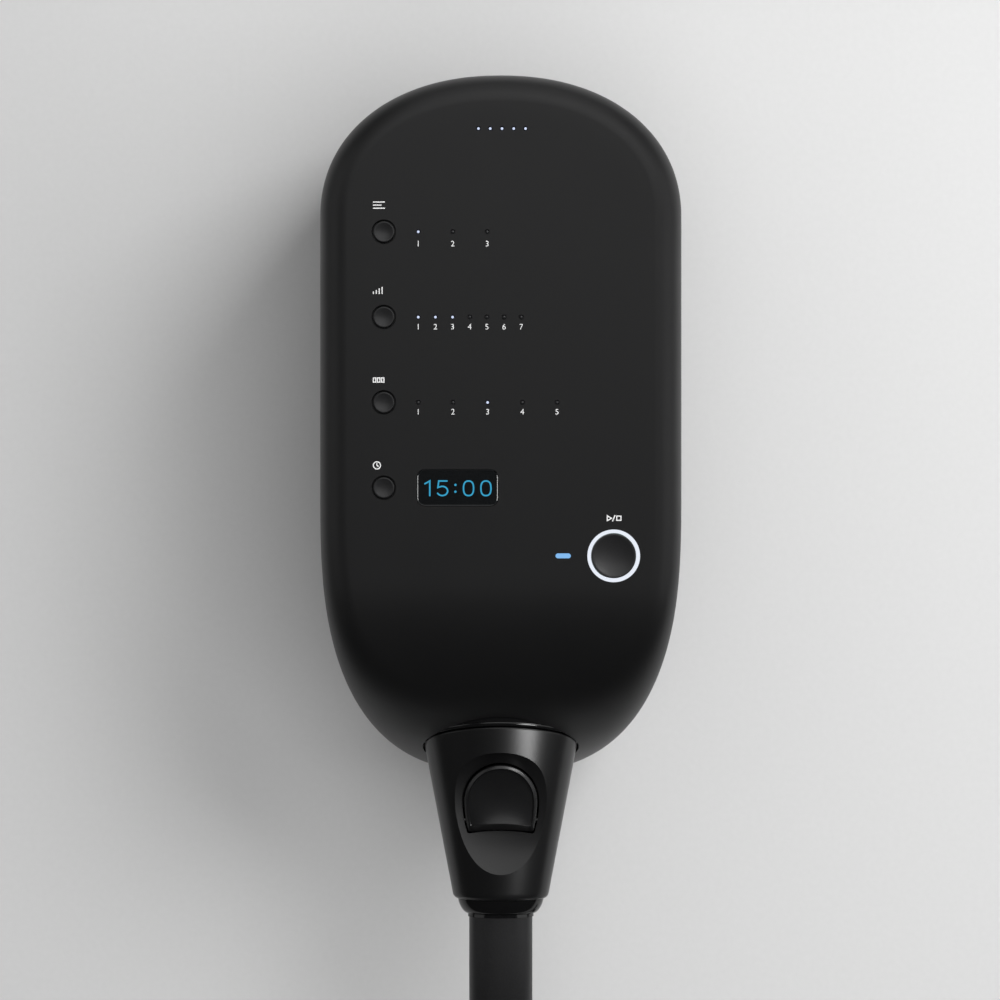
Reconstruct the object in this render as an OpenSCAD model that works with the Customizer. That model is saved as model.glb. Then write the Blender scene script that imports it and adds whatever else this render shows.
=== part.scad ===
// Compression therapy pump with its air hose, lying on its back on a table.
// Millimetres. +Z comes out of the face, +Y points to the top end of the face.
// The origin lies on the table, under the middle of the casing.

/* [Casing] */
// Width of the casing
case_w = 112; // [108:1:120]
// Length of the casing
case_len = 220.2; // [214:0.1:230]
// Height of the casing above its feet
case_h = 96; // [94:1:102]
// Wall of both shells
wall = 2.4; // [2:0.1:3]
// Height of the line where the shells meet
parting_z = 32; // [31:0.5:33]
// Radius of the rounded edge along the sides and the top
edge_r = 9; // [7:0.5:10]
// Radius of the rounded edge at the hose end
chin_edge_r = 32; // [30:0.5:33]
// Length of the part of the face that curves down
chin_len = 62.1; // [60:0.1:63]
// Radius of the curve that takes the face down to the hose end
chin_r = 76; // [74:1:82]
// Length of the rounded top end
top_cap = 44.2; // [40:0.1:50]
// Length of the rounded hose end
chin_cap = 88.6; // [84:0.1:92]
// Radius of the rounded edge of the back
back_r = 9; // [7:0.5:11]
// Height of the rubber feet that show below the back
foot_h = 3; // [2:0.5:4]
// Radius of the rubber feet
foot_r = 7; // [5:0.5:8]

/* [Small buttons] */
// Distance of the button column from the left side
key_inset = 20; // [18:0.5:22]
// Height of the first button on the face
key_top_y = 61; // [58:0.5:63]
// Distance from button to button
key_pitch = 26.25; // [24:0.05:27]
// Radius of a button
key_r = 3.2; // [2.8:0.1:3.6]
// Gap around each button and the start button
key_gap = 0.5; // [0.3:0.05:0.6]
// How far a small button goes in
key_travel = 0.5; // [0.3:0.05:0.6]
// Depth of the dished top of a button
key_dish = 0.45; // [0.2:0.05:0.6]

/* [Start button] */
// Distance of the start button from the right side
start_inset = 21.25; // [20:0.25:23]
// Distance of the start button from where the face curves down
start_to_chin = 9.3; // [8:0.1:11]
// Outer radius of its light ring
ring_r = 8.07; // [7.6:0.01:8.4]
// Width of the light ring
ring_w = 1.04; // [0.8:0.02:1.3]
// How far the start button goes in
start_travel = 0.8; // [0.5:0.1:1]

/* [Lights and display] */
// Radius of a small light
light_r = 0.65; // [0.5:0.05:0.8]
// From the button column to the first light of a row
light_shift = 10.6; // [10:0.1:11]
// Distance between the program lights
program_pitch = 10.6; // [10:0.1:12]
// Distance between the pressure lights
pressure_pitch = 5.28; // [5:0.01:5.6]
// Distance between the zone lights
zone_pitch = 10.67; // [10:0.01:11]
// Distance between the battery lights
battery_pitch = 3.62; // [3.2:0.01:4]
// Distance of the battery lights from the top end
battery_inset = 17.35; // [16.5:0.05:19]
// Width of the display
display_w = 25; // [23:0.5:26]
// Height of the display
display_h = 11.2; // [10:0.1:12]
// From the button column to the middle of the display
display_shift = 22.7; // [22:0.1:24]
// Radius of the corners of the display
display_r = 2.5; // [1.5:0.1:3]
// Length of the long light beside the start button
dash_len = 4.64; // [4:0.02:5]
// Width of the long light
dash_w = 1.45; // [1.2:0.05:1.6]
// From the start button to the middle of the dash
dash_shift = 15.55; // [14.8:0.05:16.8]

/* [Hose connector] */
// Width of the connector at its rim
rim_w = 48.2; // [46:0.2:49]
// Height of the connector at its rim
rim_h = 32; // [31:0.2:32.6]
// Width of the connector at its hose end
tail_w = 30.3; // [28:0.1:32]
// Height of the connector at its hose end
tail_h = 22; // [20:0.5:23]
// Length of the tapered body
body_len = 47; // [46:0.5:48]
// Wall of the connector shells
plug_wall = 2.2; // [1.8:0.1:2.4]
// Depth of the middle of the port below the face
port_drop = 31; // [30.5:0.25:31.5]
// Distance of the rim's middle from the hose end of the casing
rim_inset = 11.3; // [10.9:0.1:11.7]
// Radius of the air nozzles
nozzle_r = 4; // [3.5:0.1:4.2]
// Distance between the air nozzles
nozzle_pitch = 13; // [12:0.25:13.5]
// Reach of the nozzles past the rim
nozzle_len = 14; // [12:0.5:16]
// Width of the thumb pad
pad_w = 22.9; // [21:0.1:24]
// Length of the thumb pad
pad_len = 21.3; // [20:0.1:22]
// Gap around the thumb pad
pad_gap = 0.6; // [0.5:0.05:0.8]
// Depth of the thumb scoop
scoop_depth = 4.5; // [4:0.1:5]
// Angle that the latch turns when it is pressed
latch_angle = 4.5; // [4:0.1:5]
// Distance that the connector is pulled to come free
pull_len = 30; // [20:1:40]

/* [Hose] */
// Width of the flat hose
hose_w = 20; // [19:0.1:20.3]
// Thickness of the flat hose
hose_t = 13; // [12:0.1:13.4]
// Radius of the first turn of the put-away hose
coil_r = 86; // [84:1:88]
// Free gap between the turns of the hose
turn_gap = 1.3; // [1:0.05:1.5]

/* [Drive] */
// Radius of the motor
motor_r = 20; // [18:0.5:21]
// Length of the motor
motor_len = 46; // [40:1:50]
// Radius of the motor shaft
shaft_r = 2.5; // [2:0.25:3]
// Width of the pump head
head_w = 50; // [46:1:54]

/* [Hidden] */

eps = 0.01;            // overlap that makes a cut or a joint clean
shaft_fit = 0.05;      // radial clearance of a pin or shaft that turns
slide_fit = 0.1;       // clearance of a piece that rests against a stop
seat_fit = 0.15;       // clearance of a piece that is fixed in a hole
groove = 0.5;          // depth of the line between the shells
round_fn = 48;

face_z = foot_h + case_h;
half_w = case_w / 2;
half_len = case_len / 2;
top_y = half_len - top_cap;
chin_y = chin_cap - half_len;
chin_start = half_len - chin_len;
rim_y = rim_inset - half_len;
port_z = face_z - port_drop;
key_x = half_w - key_inset;
light_x = light_shift - key_x;
display_x = display_shift - key_x;
start_x = half_w - start_inset;
start_y = start_to_chin - chin_start;
dash_x = start_x - dash_shift;
battery_y = half_len - battery_inset;
top_power = 2.17;      // the ends of the outline are superellipses
chin_power = 2.6;
draft = 2;             // the rear shell is this much smaller at the back, each side

casing_colour = [0.16, 0.16, 0.17];
gloss_colour = [0.03, 0.03, 0.03];
board_colour = [0.05, 0.3, 0.15];
metal_colour = [0.7, 0.7, 0.72];
rubber_colour = [0.08, 0.08, 0.08];
light_colour = [0.9, 0.95, 1];
clear_colour = [0.75, 0.8, 0.85];
frame_colour = [0.25, 0.27, 0.3];

// ---- shapes used by several pieces ----

function signed_pow(v, p) = sign(v) * pow(abs(v), p);

// The stations of the outline: [angle, true on the rounded top end].
step = 5;
half_count = 180 / step;
stations = concat(
    [for (k = [0:half_count]) [k * step, true]],
    [for (k = [0:half_count]) [180 + k * step, false]]);

// Point of the casing's outline at a station, drawn in by d.
function outline_pt(q, d) =
    let (
        n = q[1] ? top_power : chin_power,
        cap = q[1] ? top_cap : chin_cap,
        y = q[1] ? top_y : chin_y)
    [(half_w - d) * signed_pow(cos(q[0]), 2 / n),
     y + (cap - d) * signed_pow(sin(q[0]), 2 / n)];
function outline(d) = [for (q = stations) outline_pt(q, d)];

// Radius of the rounded edge at a station: it grows towards the hose end.
edge_growth = 3;
function edge_at(q) =
    q[1] ? edge_r : edge_r + (chin_edge_r - edge_r) * pow(abs(sin(q[0])), edge_growth);

// Height of the face at y, t below the outer surface.
function face_at(y, t) =
    y > -chin_start ? face_z - t
    : face_z - chin_r + sqrt(pow(chin_r - t, 2) - pow(chin_start + y, 2));

// Ring of the rounded edge: f is 0 on the wall and 90 where the edge meets the face.
function edge_ring(f, t) = [
    for (q = stations)
        let (
            r = edge_at(q) - t,
            p = outline_pt(q, t + r * (1 - cos(f))))
        [p.x, p.y, face_at(p.y, t) - r * (1 - sin(f))]];
function flat_ring(d, z) = [for (p = outline(d)) [p.x, p.y, z]];

function triangles(a, b, c, d) = [
    if (a != b && b != c) [a, b, c],
    if (c != d && d != a) [a, c, d]];

// Sides of a solid through rings that run anticlockwise, seen from the last ring.
function band_faces(n, rings) = [
    for (k = [0:rings - 2], i = [0:n - 1])
        let (j = (i + 1) % n, a = k * n, b = a + n)
        each triangles(a + i, b + i, b + j, a + j)];

// Solid through rings, closed by a flat face at each end.
module loft(rings) {
    n = len(rings[0]);
    last = (len(rings) - 1) * n;
    polyhedron(
        points = [for (r = rings) each r],
        faces = concat(
            [[for (i = [0:n - 1]) i]],
            band_faces(n, len(rings)),
            [[for (i = [n - 1:-1:0]) last + i]]));
}

// Solid through rings of the casing, closed on top by strips that run straight across.
module casing_solid(rings) {
    n = len(stations);
    top = (len(rings) - 1) * n;
    m = half_count;
    polyhedron(
        points = [for (r = rings) each r],
        faces = concat(
            [[for (i = [0:n - 1]) i]],
            band_faces(n, len(rings)),
            [for (i = [0:m / 2 - 1])
                each triangles(top + m - i, top + m - 1 - i, top + i + 1, top + i)],
            triangles(top + m + 1, top + m, top, top + n - 1),
            [for (j = [0:m / 2 - 1])
                each triangles(top + n - 1 - j, top + n - 2 - j, top + m + 2 + j, top + m + 1 + j)]));
}

module outline_prism(d, z0, z1) {
    translate([0, 0, z0]) linear_extrude(z1 - z0) polygon(outline(d));
}

module slab(x0, x1, y0, y1, z0, z1) {
    translate([x0, y0, z0]) cube([x1 - x0, y1 - y0, z1 - z0]);
}

module post(r, z0, z1, fn = round_fn) {
    translate([0, 0, z0]) cylinder(r = r, h = z1 - z0, $fn = fn);
}

// Cylinder along Y between y0 and y1.
module rod_y(r, y0, y1) {
    translate([0, y0, 0]) rotate([-90, 0, 0]) cylinder(r = r, h = y1 - y0, $fn = round_fn);
}

// Cylinder along X, centred.
module rod_x(r, length) {
    rotate([0, 90, 0]) cylinder(r = r, h = length, center = true, $fn = round_fn);
}

module rounded_slab(w, h, r, z0, z1) {
    translate([0, 0, z0]) linear_extrude(z1 - z0) {
        square([w - 2 * r, h], center = true);
        square([w, h - 2 * r], center = true);
        for (x = [-1, 1], y = [-1, 1])
            translate([x * (w / 2 - r), y * (h / 2 - r)]) circle(r = r, $fn = 32);
    }
}

module mirrored_x() {
    children();
    mirror([1, 0, 0]) children();
}

// ---- casing ----

groove_h = 0.6;
rear_rings = concat(
    [for (f = [90, 60, 30, 0])
        flat_ring(draft + back_r * (1 - cos(f)), foot_h + back_r * (1 - sin(f)))],
    [flat_ring(0, parting_z - groove_h), flat_ring(groove, parting_z)]);
inner_back_r = back_r - wall;
rear_inner_rings = concat(
    [for (f = [90, 45, 0])
        flat_ring(draft + wall + inner_back_r * (1 - cos(f)),
                  foot_h + wall + inner_back_r * (1 - sin(f)))],
    [flat_ring(wall, parting_z + eps)]);
front_rings = concat(
    [flat_ring(groove, parting_z), flat_ring(0, parting_z + groove_h)],
    [for (f = [0:15:90]) edge_ring(f, 0)]);
front_inner_rings = concat(
    [flat_ring(wall, parting_z - eps)],
    [for (f = [0:22.5:90]) edge_ring(f, wall)]);

skin_z = face_z - wall;       // inside of the face
floor_z = foot_h + wall;      // inside of the back

// Posts that take the casing screws, mirrored left and right
screw_places = [[half_w - 17, key_top_y + 13], [half_w - 16, -4.6], [half_w - 18, start_y - 23.3]];
screw_r = 1.5;
screw_head_r = 3;
screw_head_h = 2.4;
well_r = 4.6;
well_top = parting_z - 4;
head_seat = 14;               // height at which the screw heads sit
post_r = 4;
screw_top = well_top + 12;

// Pump head and motor along the casing
head_y = [-34, -8];
motor_y = [head_y[1], head_y[1] + motor_len];
pocket_y = half_len - 5.6;

// Main board and the legs that carry it, mirrored left and right
main_board_x = half_w - 20;
main_board_y = [motor_y[1] + 2, pocket_y - 14.5];
main_board_z = parting_z + 2;
leg_places = [for (y = [main_board_y[0] + 4, main_board_y[1] - 5]) [main_board_x - 3, y]];
leg_r = 2.6;

// Control board and what stands on it
standoff_h = 7;
board_t = 1.6;
board_top = skin_z - standoff_h;
board_bottom = board_top - board_t;
standoff_places = [[14, battery_y - 10.75], [14, start_y + 8.7], [-26, battery_y - 10.75],
                   [-30, start_y - 5.3]];
standoff_r = 2.6;
board_screw_r = 1;

// Power controls in the top end of the rear shell
power_x = -10;
jack_x = 10;
power_z = 18;
pocket_w = 42;
pocket_h = 13;
jack_hole_r = 3.2;
power_r = 4;
boss_depth = 3;

// Slots that let air in through the back
vent_count = 8;
vent_pitch = 4.5;
vent_len = 36;
vent_w = 2;
vent_y = -60;

foot_places = [[half_w - 28, half_len - 24.1], [half_w - 29, 30.1 - half_len]];
foot_recess = 0.8;

battery_x0 = 0.36;            // middle of the battery lights
light_rows = [
    // [first x, y, pitch, count]
    [light_x, key_top_y, program_pitch, 3],
    [light_x, key_top_y - key_pitch, pressure_pitch, 7],
    [light_x, key_top_y - 2 * key_pitch, zone_pitch, 5],
    [battery_x0 - 2 * battery_pitch, battery_y, battery_pitch, 5]];
display_y = key_top_y - 3 * key_pitch;
dash_y = start_y;
start_r = ring_r - ring_w - seat_fit;

port_w = rim_w + 0.9;
port_h = rim_h + 0.9;
port_depth = 22.8;
port_back = rim_y + port_depth;

module ellipse_prism(w, h, y0, y1, fn = 64) {
    translate([0, y1, port_z]) rotate([90, 0, 0]) linear_extrude(y1 - y0)
        polygon([for (k = [0:fn - 1]) [w / 2 * cos(360 * k / fn), h / 2 * sin(360 * k / fn)]]);
}

module face_holes() {
    for (row = light_rows, k = [0:row[3] - 1])
        translate([row[0] + k * row[2], row[1], 0])
            post(light_r + slide_fit / 2, skin_z - 2, face_z + 1, 24);
    for (k = [0:3])
        translate([-key_x, key_top_y - k * key_pitch, 0])
            post(key_r + key_gap, skin_z - 2, face_z + 1);
    translate([start_x, start_y, 0]) post(ring_r + slide_fit / 2, skin_z - 2, face_z + 1);
    translate([display_x, display_y, 0])
        rounded_slab(display_w + slide_fit, display_h + slide_fit, display_r, skin_z - 2, face_z + 1);
    translate([dash_x, dash_y, 0])
        rounded_slab(dash_len + slide_fit, dash_w + slide_fit, dash_w / 2, skin_z - 2, face_z + 1);
}

module front_shell() {
    color(casing_colour) difference() {
        union() {
            difference() {
                casing_solid(front_rings);
                casing_solid(front_inner_rings);
            }
            intersection() {
                casing_solid(front_rings);
                mirrored_x() for (p = screw_places) translate(p) post(post_r, well_top, face_z);
            }
            for (p = standoff_places) translate(p) post(standoff_r, board_top, skin_z + 1);
        }
        face_holes();
        ellipse_prism(port_w + 2 * seat_fit, port_h + 2 * seat_fit, -half_len - 10, port_back - 2);
        mirrored_x() for (p = screw_places)
            translate(p) post(screw_r + slide_fit, well_top - 1, screw_top + 1);
        for (p = standoff_places)
            translate(p) post(board_screw_r + slide_fit, board_top - 1, board_top + 5);
    }
}

module rear_shell() {
    tongue_h = 2.4;
    tongue_t = 1.2;
    color(casing_colour) difference() {
        union() {
            difference() {
                loft(rear_rings);
                loft(rear_inner_rings);
            }
            difference() {
                union() {
                    outline_prism(wall - 0.3, parting_z - 4, parting_z - 1);
                    outline_prism(wall + seat_fit, parting_z - 1 - eps, parting_z + tongue_h);
                }
                outline_prism(wall + seat_fit + tongue_t, parting_z - 5, parting_z + tongue_h + 1);
            }
            mirrored_x() {
                for (p = screw_places) translate(p) post(well_r, foot_h + 1, well_top);
                for (p = leg_places) translate(p) post(leg_r, foot_h + 1, main_board_z);
            }
            intersection() {
                loft(rear_rings);
                slab(-pocket_w / 2 - wall, pocket_w / 2 + wall, pocket_y - boss_depth, half_len,
                     power_z - pocket_h / 2 - wall, power_z + pocket_h / 2 + wall);
            }
        }
        mirrored_x() for (p = screw_places) translate(p) {
            post(screw_head_r + 0.4, foot_h - 1, head_seat);
            post(screw_r + 0.2, head_seat - 1, well_top + 1);
        }
        mirrored_x() for (p = foot_places)
            translate(p) post(foot_r + slide_fit, foot_h - 1, foot_h + foot_recess);
        for (k = [0:vent_count - 1])
            translate([0, vent_y + (k - (vent_count - 1) / 2) * vent_pitch, 0])
                rounded_slab(vent_len, vent_w, vent_w / 2 - eps, foot_h - 1, floor_z + 1);
        translate([0, pocket_y, power_z]) rotate([-90, 0, 0])
            rounded_slab(pocket_w, pocket_h, pocket_h / 2 - eps, 0, 20);
        translate([power_x, 0, power_z]) rod_y(power_r + key_gap, pocket_y - 10, pocket_y + 1);
        translate([jack_x, 0, power_z]) rod_y(jack_hole_r, pocket_y - 10, pocket_y + 1);
    }
}

module rear_feet() {
    color(rubber_colour) mirrored_x() for (p = foot_places) translate(p) rotate_extrude($fn = round_fn)
        polygon([[0, 0], [foot_r - 0.8, 0], [foot_r, 0.8],
                 [foot_r, foot_h + foot_recess], [0, foot_h + foot_recess]]);
}

module casing_screws() {
    color(metal_colour) mirrored_x() for (p = screw_places) translate(p) {
        post(screw_r, head_seat - eps, screw_top);
        difference() {
            post(screw_head_r, head_seat - screw_head_h, head_seat);
            post(1.2, head_seat - screw_head_h - 1, head_seat - screw_head_h + 1.2, 6);
        }
    }
}

// ---- display and lights ----

flange_t = 1;

module display_window() {
    color(gloss_colour) translate([display_x, display_y, 0]) {
        rounded_slab(display_w, display_h, display_r, skin_z - eps, face_z);
        rounded_slab(display_w + 3, display_h + 3, display_r + 1, skin_z - flange_t, skin_z);
    }
}

module display_module() {
    color(clear_colour) translate([display_x, display_y, 0])
        rounded_slab(display_w + 2, display_h + 2, 1, board_top, skin_z - flange_t);
}

// Row of clear light guides on one bar that stands on the control board.
module light_row(row) {
    bar_h = 2.5;
    color(light_colour) {
        for (k = [0:row[3] - 1])
            translate([row[0] + k * row[2], row[1], 0])
                post(light_r, board_top + bar_h - eps, face_z, 24);
        slab(row[0] - 1.2, row[0] + (row[3] - 1) * row[2] + 1.2, row[1] - 1.2, row[1] + 1.2,
             board_top, board_top + bar_h);
    }
}

module link_light() {
    color(light_colour) translate([dash_x, dash_y, 0])
        rounded_slab(dash_len, dash_w, dash_w / 2 - eps, board_top, face_z);
}

module start_light_ring() {
    color(light_colour) translate([start_x, start_y, 0]) difference() {
        union() {
            post(ring_r, skin_z - flange_t - eps, face_z);
            post(ring_r + 1.2, skin_z - flange_t, skin_z);
            post(ring_r, board_top, skin_z - flange_t);
        }
        post(ring_r - ring_w, board_top - 1, face_z + 1);
    }
}

// ---- boards ----

switch_w = 6;
switch_h = 3.4;
button_places = concat(
    [for (k = [0:3]) [-key_x, key_top_y - k * key_pitch]],
    [[start_x, start_y]]);

module control_board() {
    edge_gap = 8;
    low_y = start_y - 13.3;
    color(board_colour) translate([0, 0, board_bottom]) linear_extrude(board_t) difference() {
        intersection() {
            polygon(outline(edge_gap));
            translate([-half_w, low_y]) square([case_w, battery_y + 4 - low_y]);
        }
        mirrored_x() for (p = screw_places) translate(p) circle(r = post_r + 1, $fn = round_fn);
        for (p = standoff_places) translate(p) circle(r = board_screw_r + 0.2, $fn = 24);
    }
}

module key_switches() {
    color(metal_colour) for (p = button_places) translate(p) {
        translate([-switch_w / 2, -switch_w / 2, board_top]) cube([switch_w, switch_w, switch_h - 1]);
        post(1.6, board_top + switch_h - 1 - eps, board_top + switch_h, 24);
    }
}

module board_screws() {
    color(metal_colour) for (p = standoff_places) translate(p) {
        post(board_screw_r, board_bottom - eps, board_top + 4.5, 24);
        post(2, board_bottom - 1.2, board_bottom, 24);
    }
}

// Button with a dished cap, a stop flange under the face and a stem that meets its switch.
module round_button(r, travel) {
    flange_r = r + key_gap + 1;
    stem_bottom = board_top + switch_h + travel + slide_fit;
    dish_r = (pow(r - 0.35, 2) + pow(key_dish, 2)) / (2 * key_dish);
    difference() {
        union() {
            post(r, skin_z - flange_t - slide_fit - eps, face_z);
            post(flange_r, skin_z - flange_t - slide_fit, skin_z - slide_fit);
            post(1.5, stem_bottom, skin_z - flange_t, 24);
        }
        translate([0, 0, face_z - key_dish + dish_r]) sphere(r = dish_r, $fn = 96);
    }
}

module small_button(k) {
    color(casing_colour) translate(button_places[k]) round_button(key_r, key_travel);
}

module start_button() {
    stem_bottom = board_top + switch_h + start_travel + slide_fit;
    dish_r = (pow(start_r - 0.5, 2) + 0.81) / (2 * 0.9);
    color(casing_colour) translate([start_x, start_y, 0]) difference() {
        union() {
            post(start_r, board_top + 5.2, face_z);
            post(1.5, stem_bottom, board_top + 6, 24);
        }
        translate([0, 0, face_z - 0.9 + dish_r]) sphere(r = dish_r, $fn = 96);
    }
}

module main_board() {
    color(board_colour) difference() {
        slab(-main_board_x, main_board_x, main_board_y[0], main_board_y[1],
             main_board_z, main_board_z + board_t);
        mirrored_x() for (p = screw_places) translate(p) post(well_r + 1.2, main_board_z - 1, face_z);
    }
    color(gloss_colour) for (x = [-20, 4])
        slab(x, x + 14, main_board_y[0] + 6, main_board_y[0] + 20, main_board_z + board_t, main_board_z + board_t + 2.4);
}

battery_x = half_w - 29;
battery_y_range = [motor_y[1] + 4, pocket_y - 16.5];
battery_top = main_board_z - 3;

module battery_pack() {
    cell_r = (battery_top - floor_z) / 2;
    color([0.2, 0.35, 0.6]) {
        for (x = [-1, 1]) translate([x * (battery_x - cell_r), 0, floor_z + cell_r])
            rod_y(cell_r, battery_y_range[0], battery_y_range[1]);
        slab(-battery_x + cell_r, battery_x - cell_r, battery_y_range[0], battery_y_range[1],
             floor_z, battery_top);
    }
}

ribbon_w = 16;
ribbon_t = 1.2;
ribbon_y = (main_board_y[0] + main_board_y[1]) / 2 + 5;

module ribbon_cable() {
    color([0.8, 0.8, 0.82])
        slab(-ribbon_w / 2, ribbon_w / 2, ribbon_y, ribbon_y + ribbon_t,
             main_board_z + board_t, board_bottom);
}

// ---- power inlet and power button ----

module charge_jack() {
    color(gloss_colour) translate([jack_x, 0, power_z]) difference() {
        union() {
            rod_y(jack_hole_r - slide_fit, pocket_y - boss_depth - 1, pocket_y - 0.4);
            translate([-5, pocket_y - boss_depth - 12, -5]) cube([10, 12, 10]);
        }
        rod_y(2.6, pocket_y - boss_depth - 9, pocket_y + 1);
    }
    color(metal_colour) translate([jack_x, 0, power_z])
        rod_y(0.9, pocket_y - boss_depth - 9 - eps, pocket_y - 1.2);
}

power_travel = 1.2;
power_stem = 6;

module power_switch() {
    color(metal_colour) translate([power_x, pocket_y - boss_depth, power_z]) {
        translate([-7.2, -12, -5]) cube([14.4, 12 - power_stem + 1.5, 10]);
        mirrored_x() translate([6, -power_stem, -5]) cube([1.2, power_stem, 10]);
    }
}

module power_button() {
    color(casing_colour) translate([power_x, 0, power_z]) {
        rod_y(power_r, pocket_y - boss_depth - 1, pocket_y + 0.6);
        rod_y(power_r + key_gap + 0.8, pocket_y - boss_depth - slide_fit - 1.2,
              pocket_y - boss_depth - slide_fit);
        rod_y(1.6, pocket_y - boss_depth - power_stem + 1.5 + power_travel + slide_fit,
              pocket_y - boss_depth - 1);
    }
}

// ---- air side ----

chassis_z = [floor_z + 3, floor_z + 5.5];
chassis_x = half_w - 23;
chassis_y = [port_back - 15, motor_y[1] - 2];
cradle_top = chassis_z[1] + 8;
motor_z = cradle_top + motor_r;
manifold_mid = (port_back + head_y[0]) / 2 + 5;
manifold_y = [manifold_mid - 8, manifold_mid + 8];
manifold_z = [port_z - 16, port_z + 2];
manifold_w = 56;
grommet_places = [[14, -26], [14, 26]];
socket_z = port_z - 5;
nozzle_x = [-nozzle_pitch, 0, nozzle_pitch];
barb_r = 3;
tube_wall = 1.2;

module chassis_frame() {
    color(frame_colour) {
        difference() {
            union() {
                slab(-chassis_x, chassis_x, chassis_y[0], chassis_y[1], chassis_z[0], chassis_z[1]);
                mirrored_x() for (y = [chassis_y[0] + 7, chassis_y[1] - 6]) translate([chassis_x - 6, y])
                    post(4, floor_z, chassis_z[0] + eps);
            }
            mirrored_x() for (p = screw_places) translate(p) post(well_r + 1, floor_z, chassis_z[1] + 1);
        }
        // uprights under the valve manifold
        mirrored_x() slab(manifold_w / 2 - 8, manifold_w / 2 - 4, manifold_y[0], manifold_y[1],
                          chassis_z[1] - eps, manifold_z[0]);
        // saddle under the port block
        slab(-14, 14, port_back - 10, port_back - 2, chassis_z[1] - eps, port_z - port_h / 2 - 2);
    }
}

module intake_filter() {
    color([0.35, 0.36, 0.38])
        slab(-vent_len / 2 - 1, vent_len / 2 + 1, vent_y - 19, vent_y + 19, floor_z, chassis_z[0]);
}

module compressor_grommets() {
    color(rubber_colour) mirrored_x() for (p = grommet_places) translate(p)
        post(4.5, chassis_z[1], cradle_top - 3);
}

module pump_cradle() {
    color(metal_colour) {
        slab(-20, 20, head_y[0], motor_y[1] - 4, cradle_top - 3, cradle_top - 1);
        for (y = [0, motor_y[1] - 8]) difference() {
            slab(-15, 15, y, y + 4, cradle_top - 1 - eps, cradle_top + 8);
            translate([0, 0, motor_z]) rod_y(motor_r + eps, y - 1, y + 5);
        }
        slab(-15, 15, head_y[0], head_y[1] - 1, cradle_top - 1 - eps, cradle_top);
    }
}

module motor_can() {
    color(metal_colour) translate([0, 0, motor_z]) difference() {
        union() {
            rod_y(motor_r, motor_y[0], motor_y[1] - 2);
            rod_y(7, motor_y[1] - 2 - eps, motor_y[1]);
        }
        rod_y(shaft_r + shaft_fit, motor_y[0] - 1, motor_y[1] + 1);
    }
}

cam_r = 7;
cam_offset = 1.5;
cam_y = [head_y[0] + 10, head_y[0] + 16];

module motor_shaft() {
    color(metal_colour) translate([0, 0, motor_z]) {
        rod_y(shaft_r, head_y[0] + 5, motor_y[1] + 1);
        translate([cam_offset, 0, 0]) rod_y(cam_r, cam_y[0], cam_y[1]);
    }
}

module pump_head() {
    room = cam_r + cam_offset + 1.5;
    color([0.3, 0.3, 0.32]) difference() {
        slab(-head_w / 2, head_w / 2, head_y[0], head_y[1], cradle_top, motor_z + 14);
        translate([0, 0, motor_z]) {
            rod_y(room, cam_y[0] - 2, cam_y[1] + 2);
            rod_y(shaft_r + shaft_fit, head_y[0] + 4, head_y[1] + 1);
        }
    }
}

valve_head_z = [motor_z + 14, motor_z + 24];
valve_head_y = (head_y[0] + head_y[1]) / 2;
valve_head_r = 12.5;
supply_z = (valve_head_z[0] + valve_head_z[1]) / 2;
supply_stub = (valve_head_y - valve_head_r - manifold_y[1] - 2.5) / 2;

module valve_head() {
    color(metal_colour) translate([0, valve_head_y, 0]) {
        post(valve_head_r, valve_head_z[0], valve_head_z[1]);
        translate([0, 0, supply_z]) rod_y(barb_r - slide_fit, -valve_head_r - supply_stub - 1, 1 - valve_head_r);
        for (k = [0:5]) rotate(60 * k + 30) translate([10, 0, 0])
            post(1.3, valve_head_z[1] - eps, valve_head_z[1] + 1.2, 6);
    }
}

module supply_tube() {
    color(clear_colour) translate([0, 0, supply_z]) difference() {
        rod_y(barb_r + tube_wall, manifold_y[1], valve_head_y - valve_head_r - slide_fit);
        rod_y(barb_r, manifold_y[1] - 1, valve_head_y);
    }
}

module valve_manifold() {
    color(frame_colour) {
        slab(-manifold_w / 2, manifold_w / 2, manifold_y[0], manifold_y[1],
             manifold_z[0], manifold_z[1]);
        for (x = nozzle_x) translate([x, 0, socket_z]) rod_y(barb_r, manifold_y[0] - 6, manifold_y[0] + eps);
        translate([0, 0, supply_z]) rod_y(barb_r - slide_fit, manifold_y[1] - eps, manifold_y[1] + supply_stub);
    }
}

module solenoid_valves() {
    color(metal_colour) for (k = [-1.5:1.5])
        translate([k * nozzle_pitch, (manifold_y[0] + manifold_y[1]) / 2, 0])
            post(5.6, manifold_z[1], manifold_z[1] + 11);
}

module air_tubes() {
    color(clear_colour) for (x = nozzle_x) translate([x, 0, socket_z]) difference() {
        rod_y(barb_r + slide_fit + tube_wall, port_back, manifold_y[0]);
        rod_y(barb_r + slide_fit, port_back - 1, manifold_y[0] + 1);
    }
}

// ---- port and connector ----

rim_slope = 0.3875;    // the rim leans back: its lower edge lies further out
rim_tilt = atan(rim_slope);
port_gap = 0.5;        // black line between the rim and the port
seal_t = 0.5;

// Everything on the hose side of the rim's plane, moved by d along Y.
module beyond_rim(d) {
    translate([0, rim_y + d, port_z]) rotate([-rim_tilt, 0, 0])
        translate([-60, -200, -100]) cube([120, 200, 200]);
}

hook_z = [port_z + 8, port_z + 10.5];   // arm of the latch
hook_y = [rim_y + 6.8, rim_y + 9.4];
hook_rise = 1.7;
hook_half = 5;
hook_gap = 0.3;                // free height over the hook as it slides in
catch_rise = 1.2;              // height of the recess behind the catch

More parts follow.
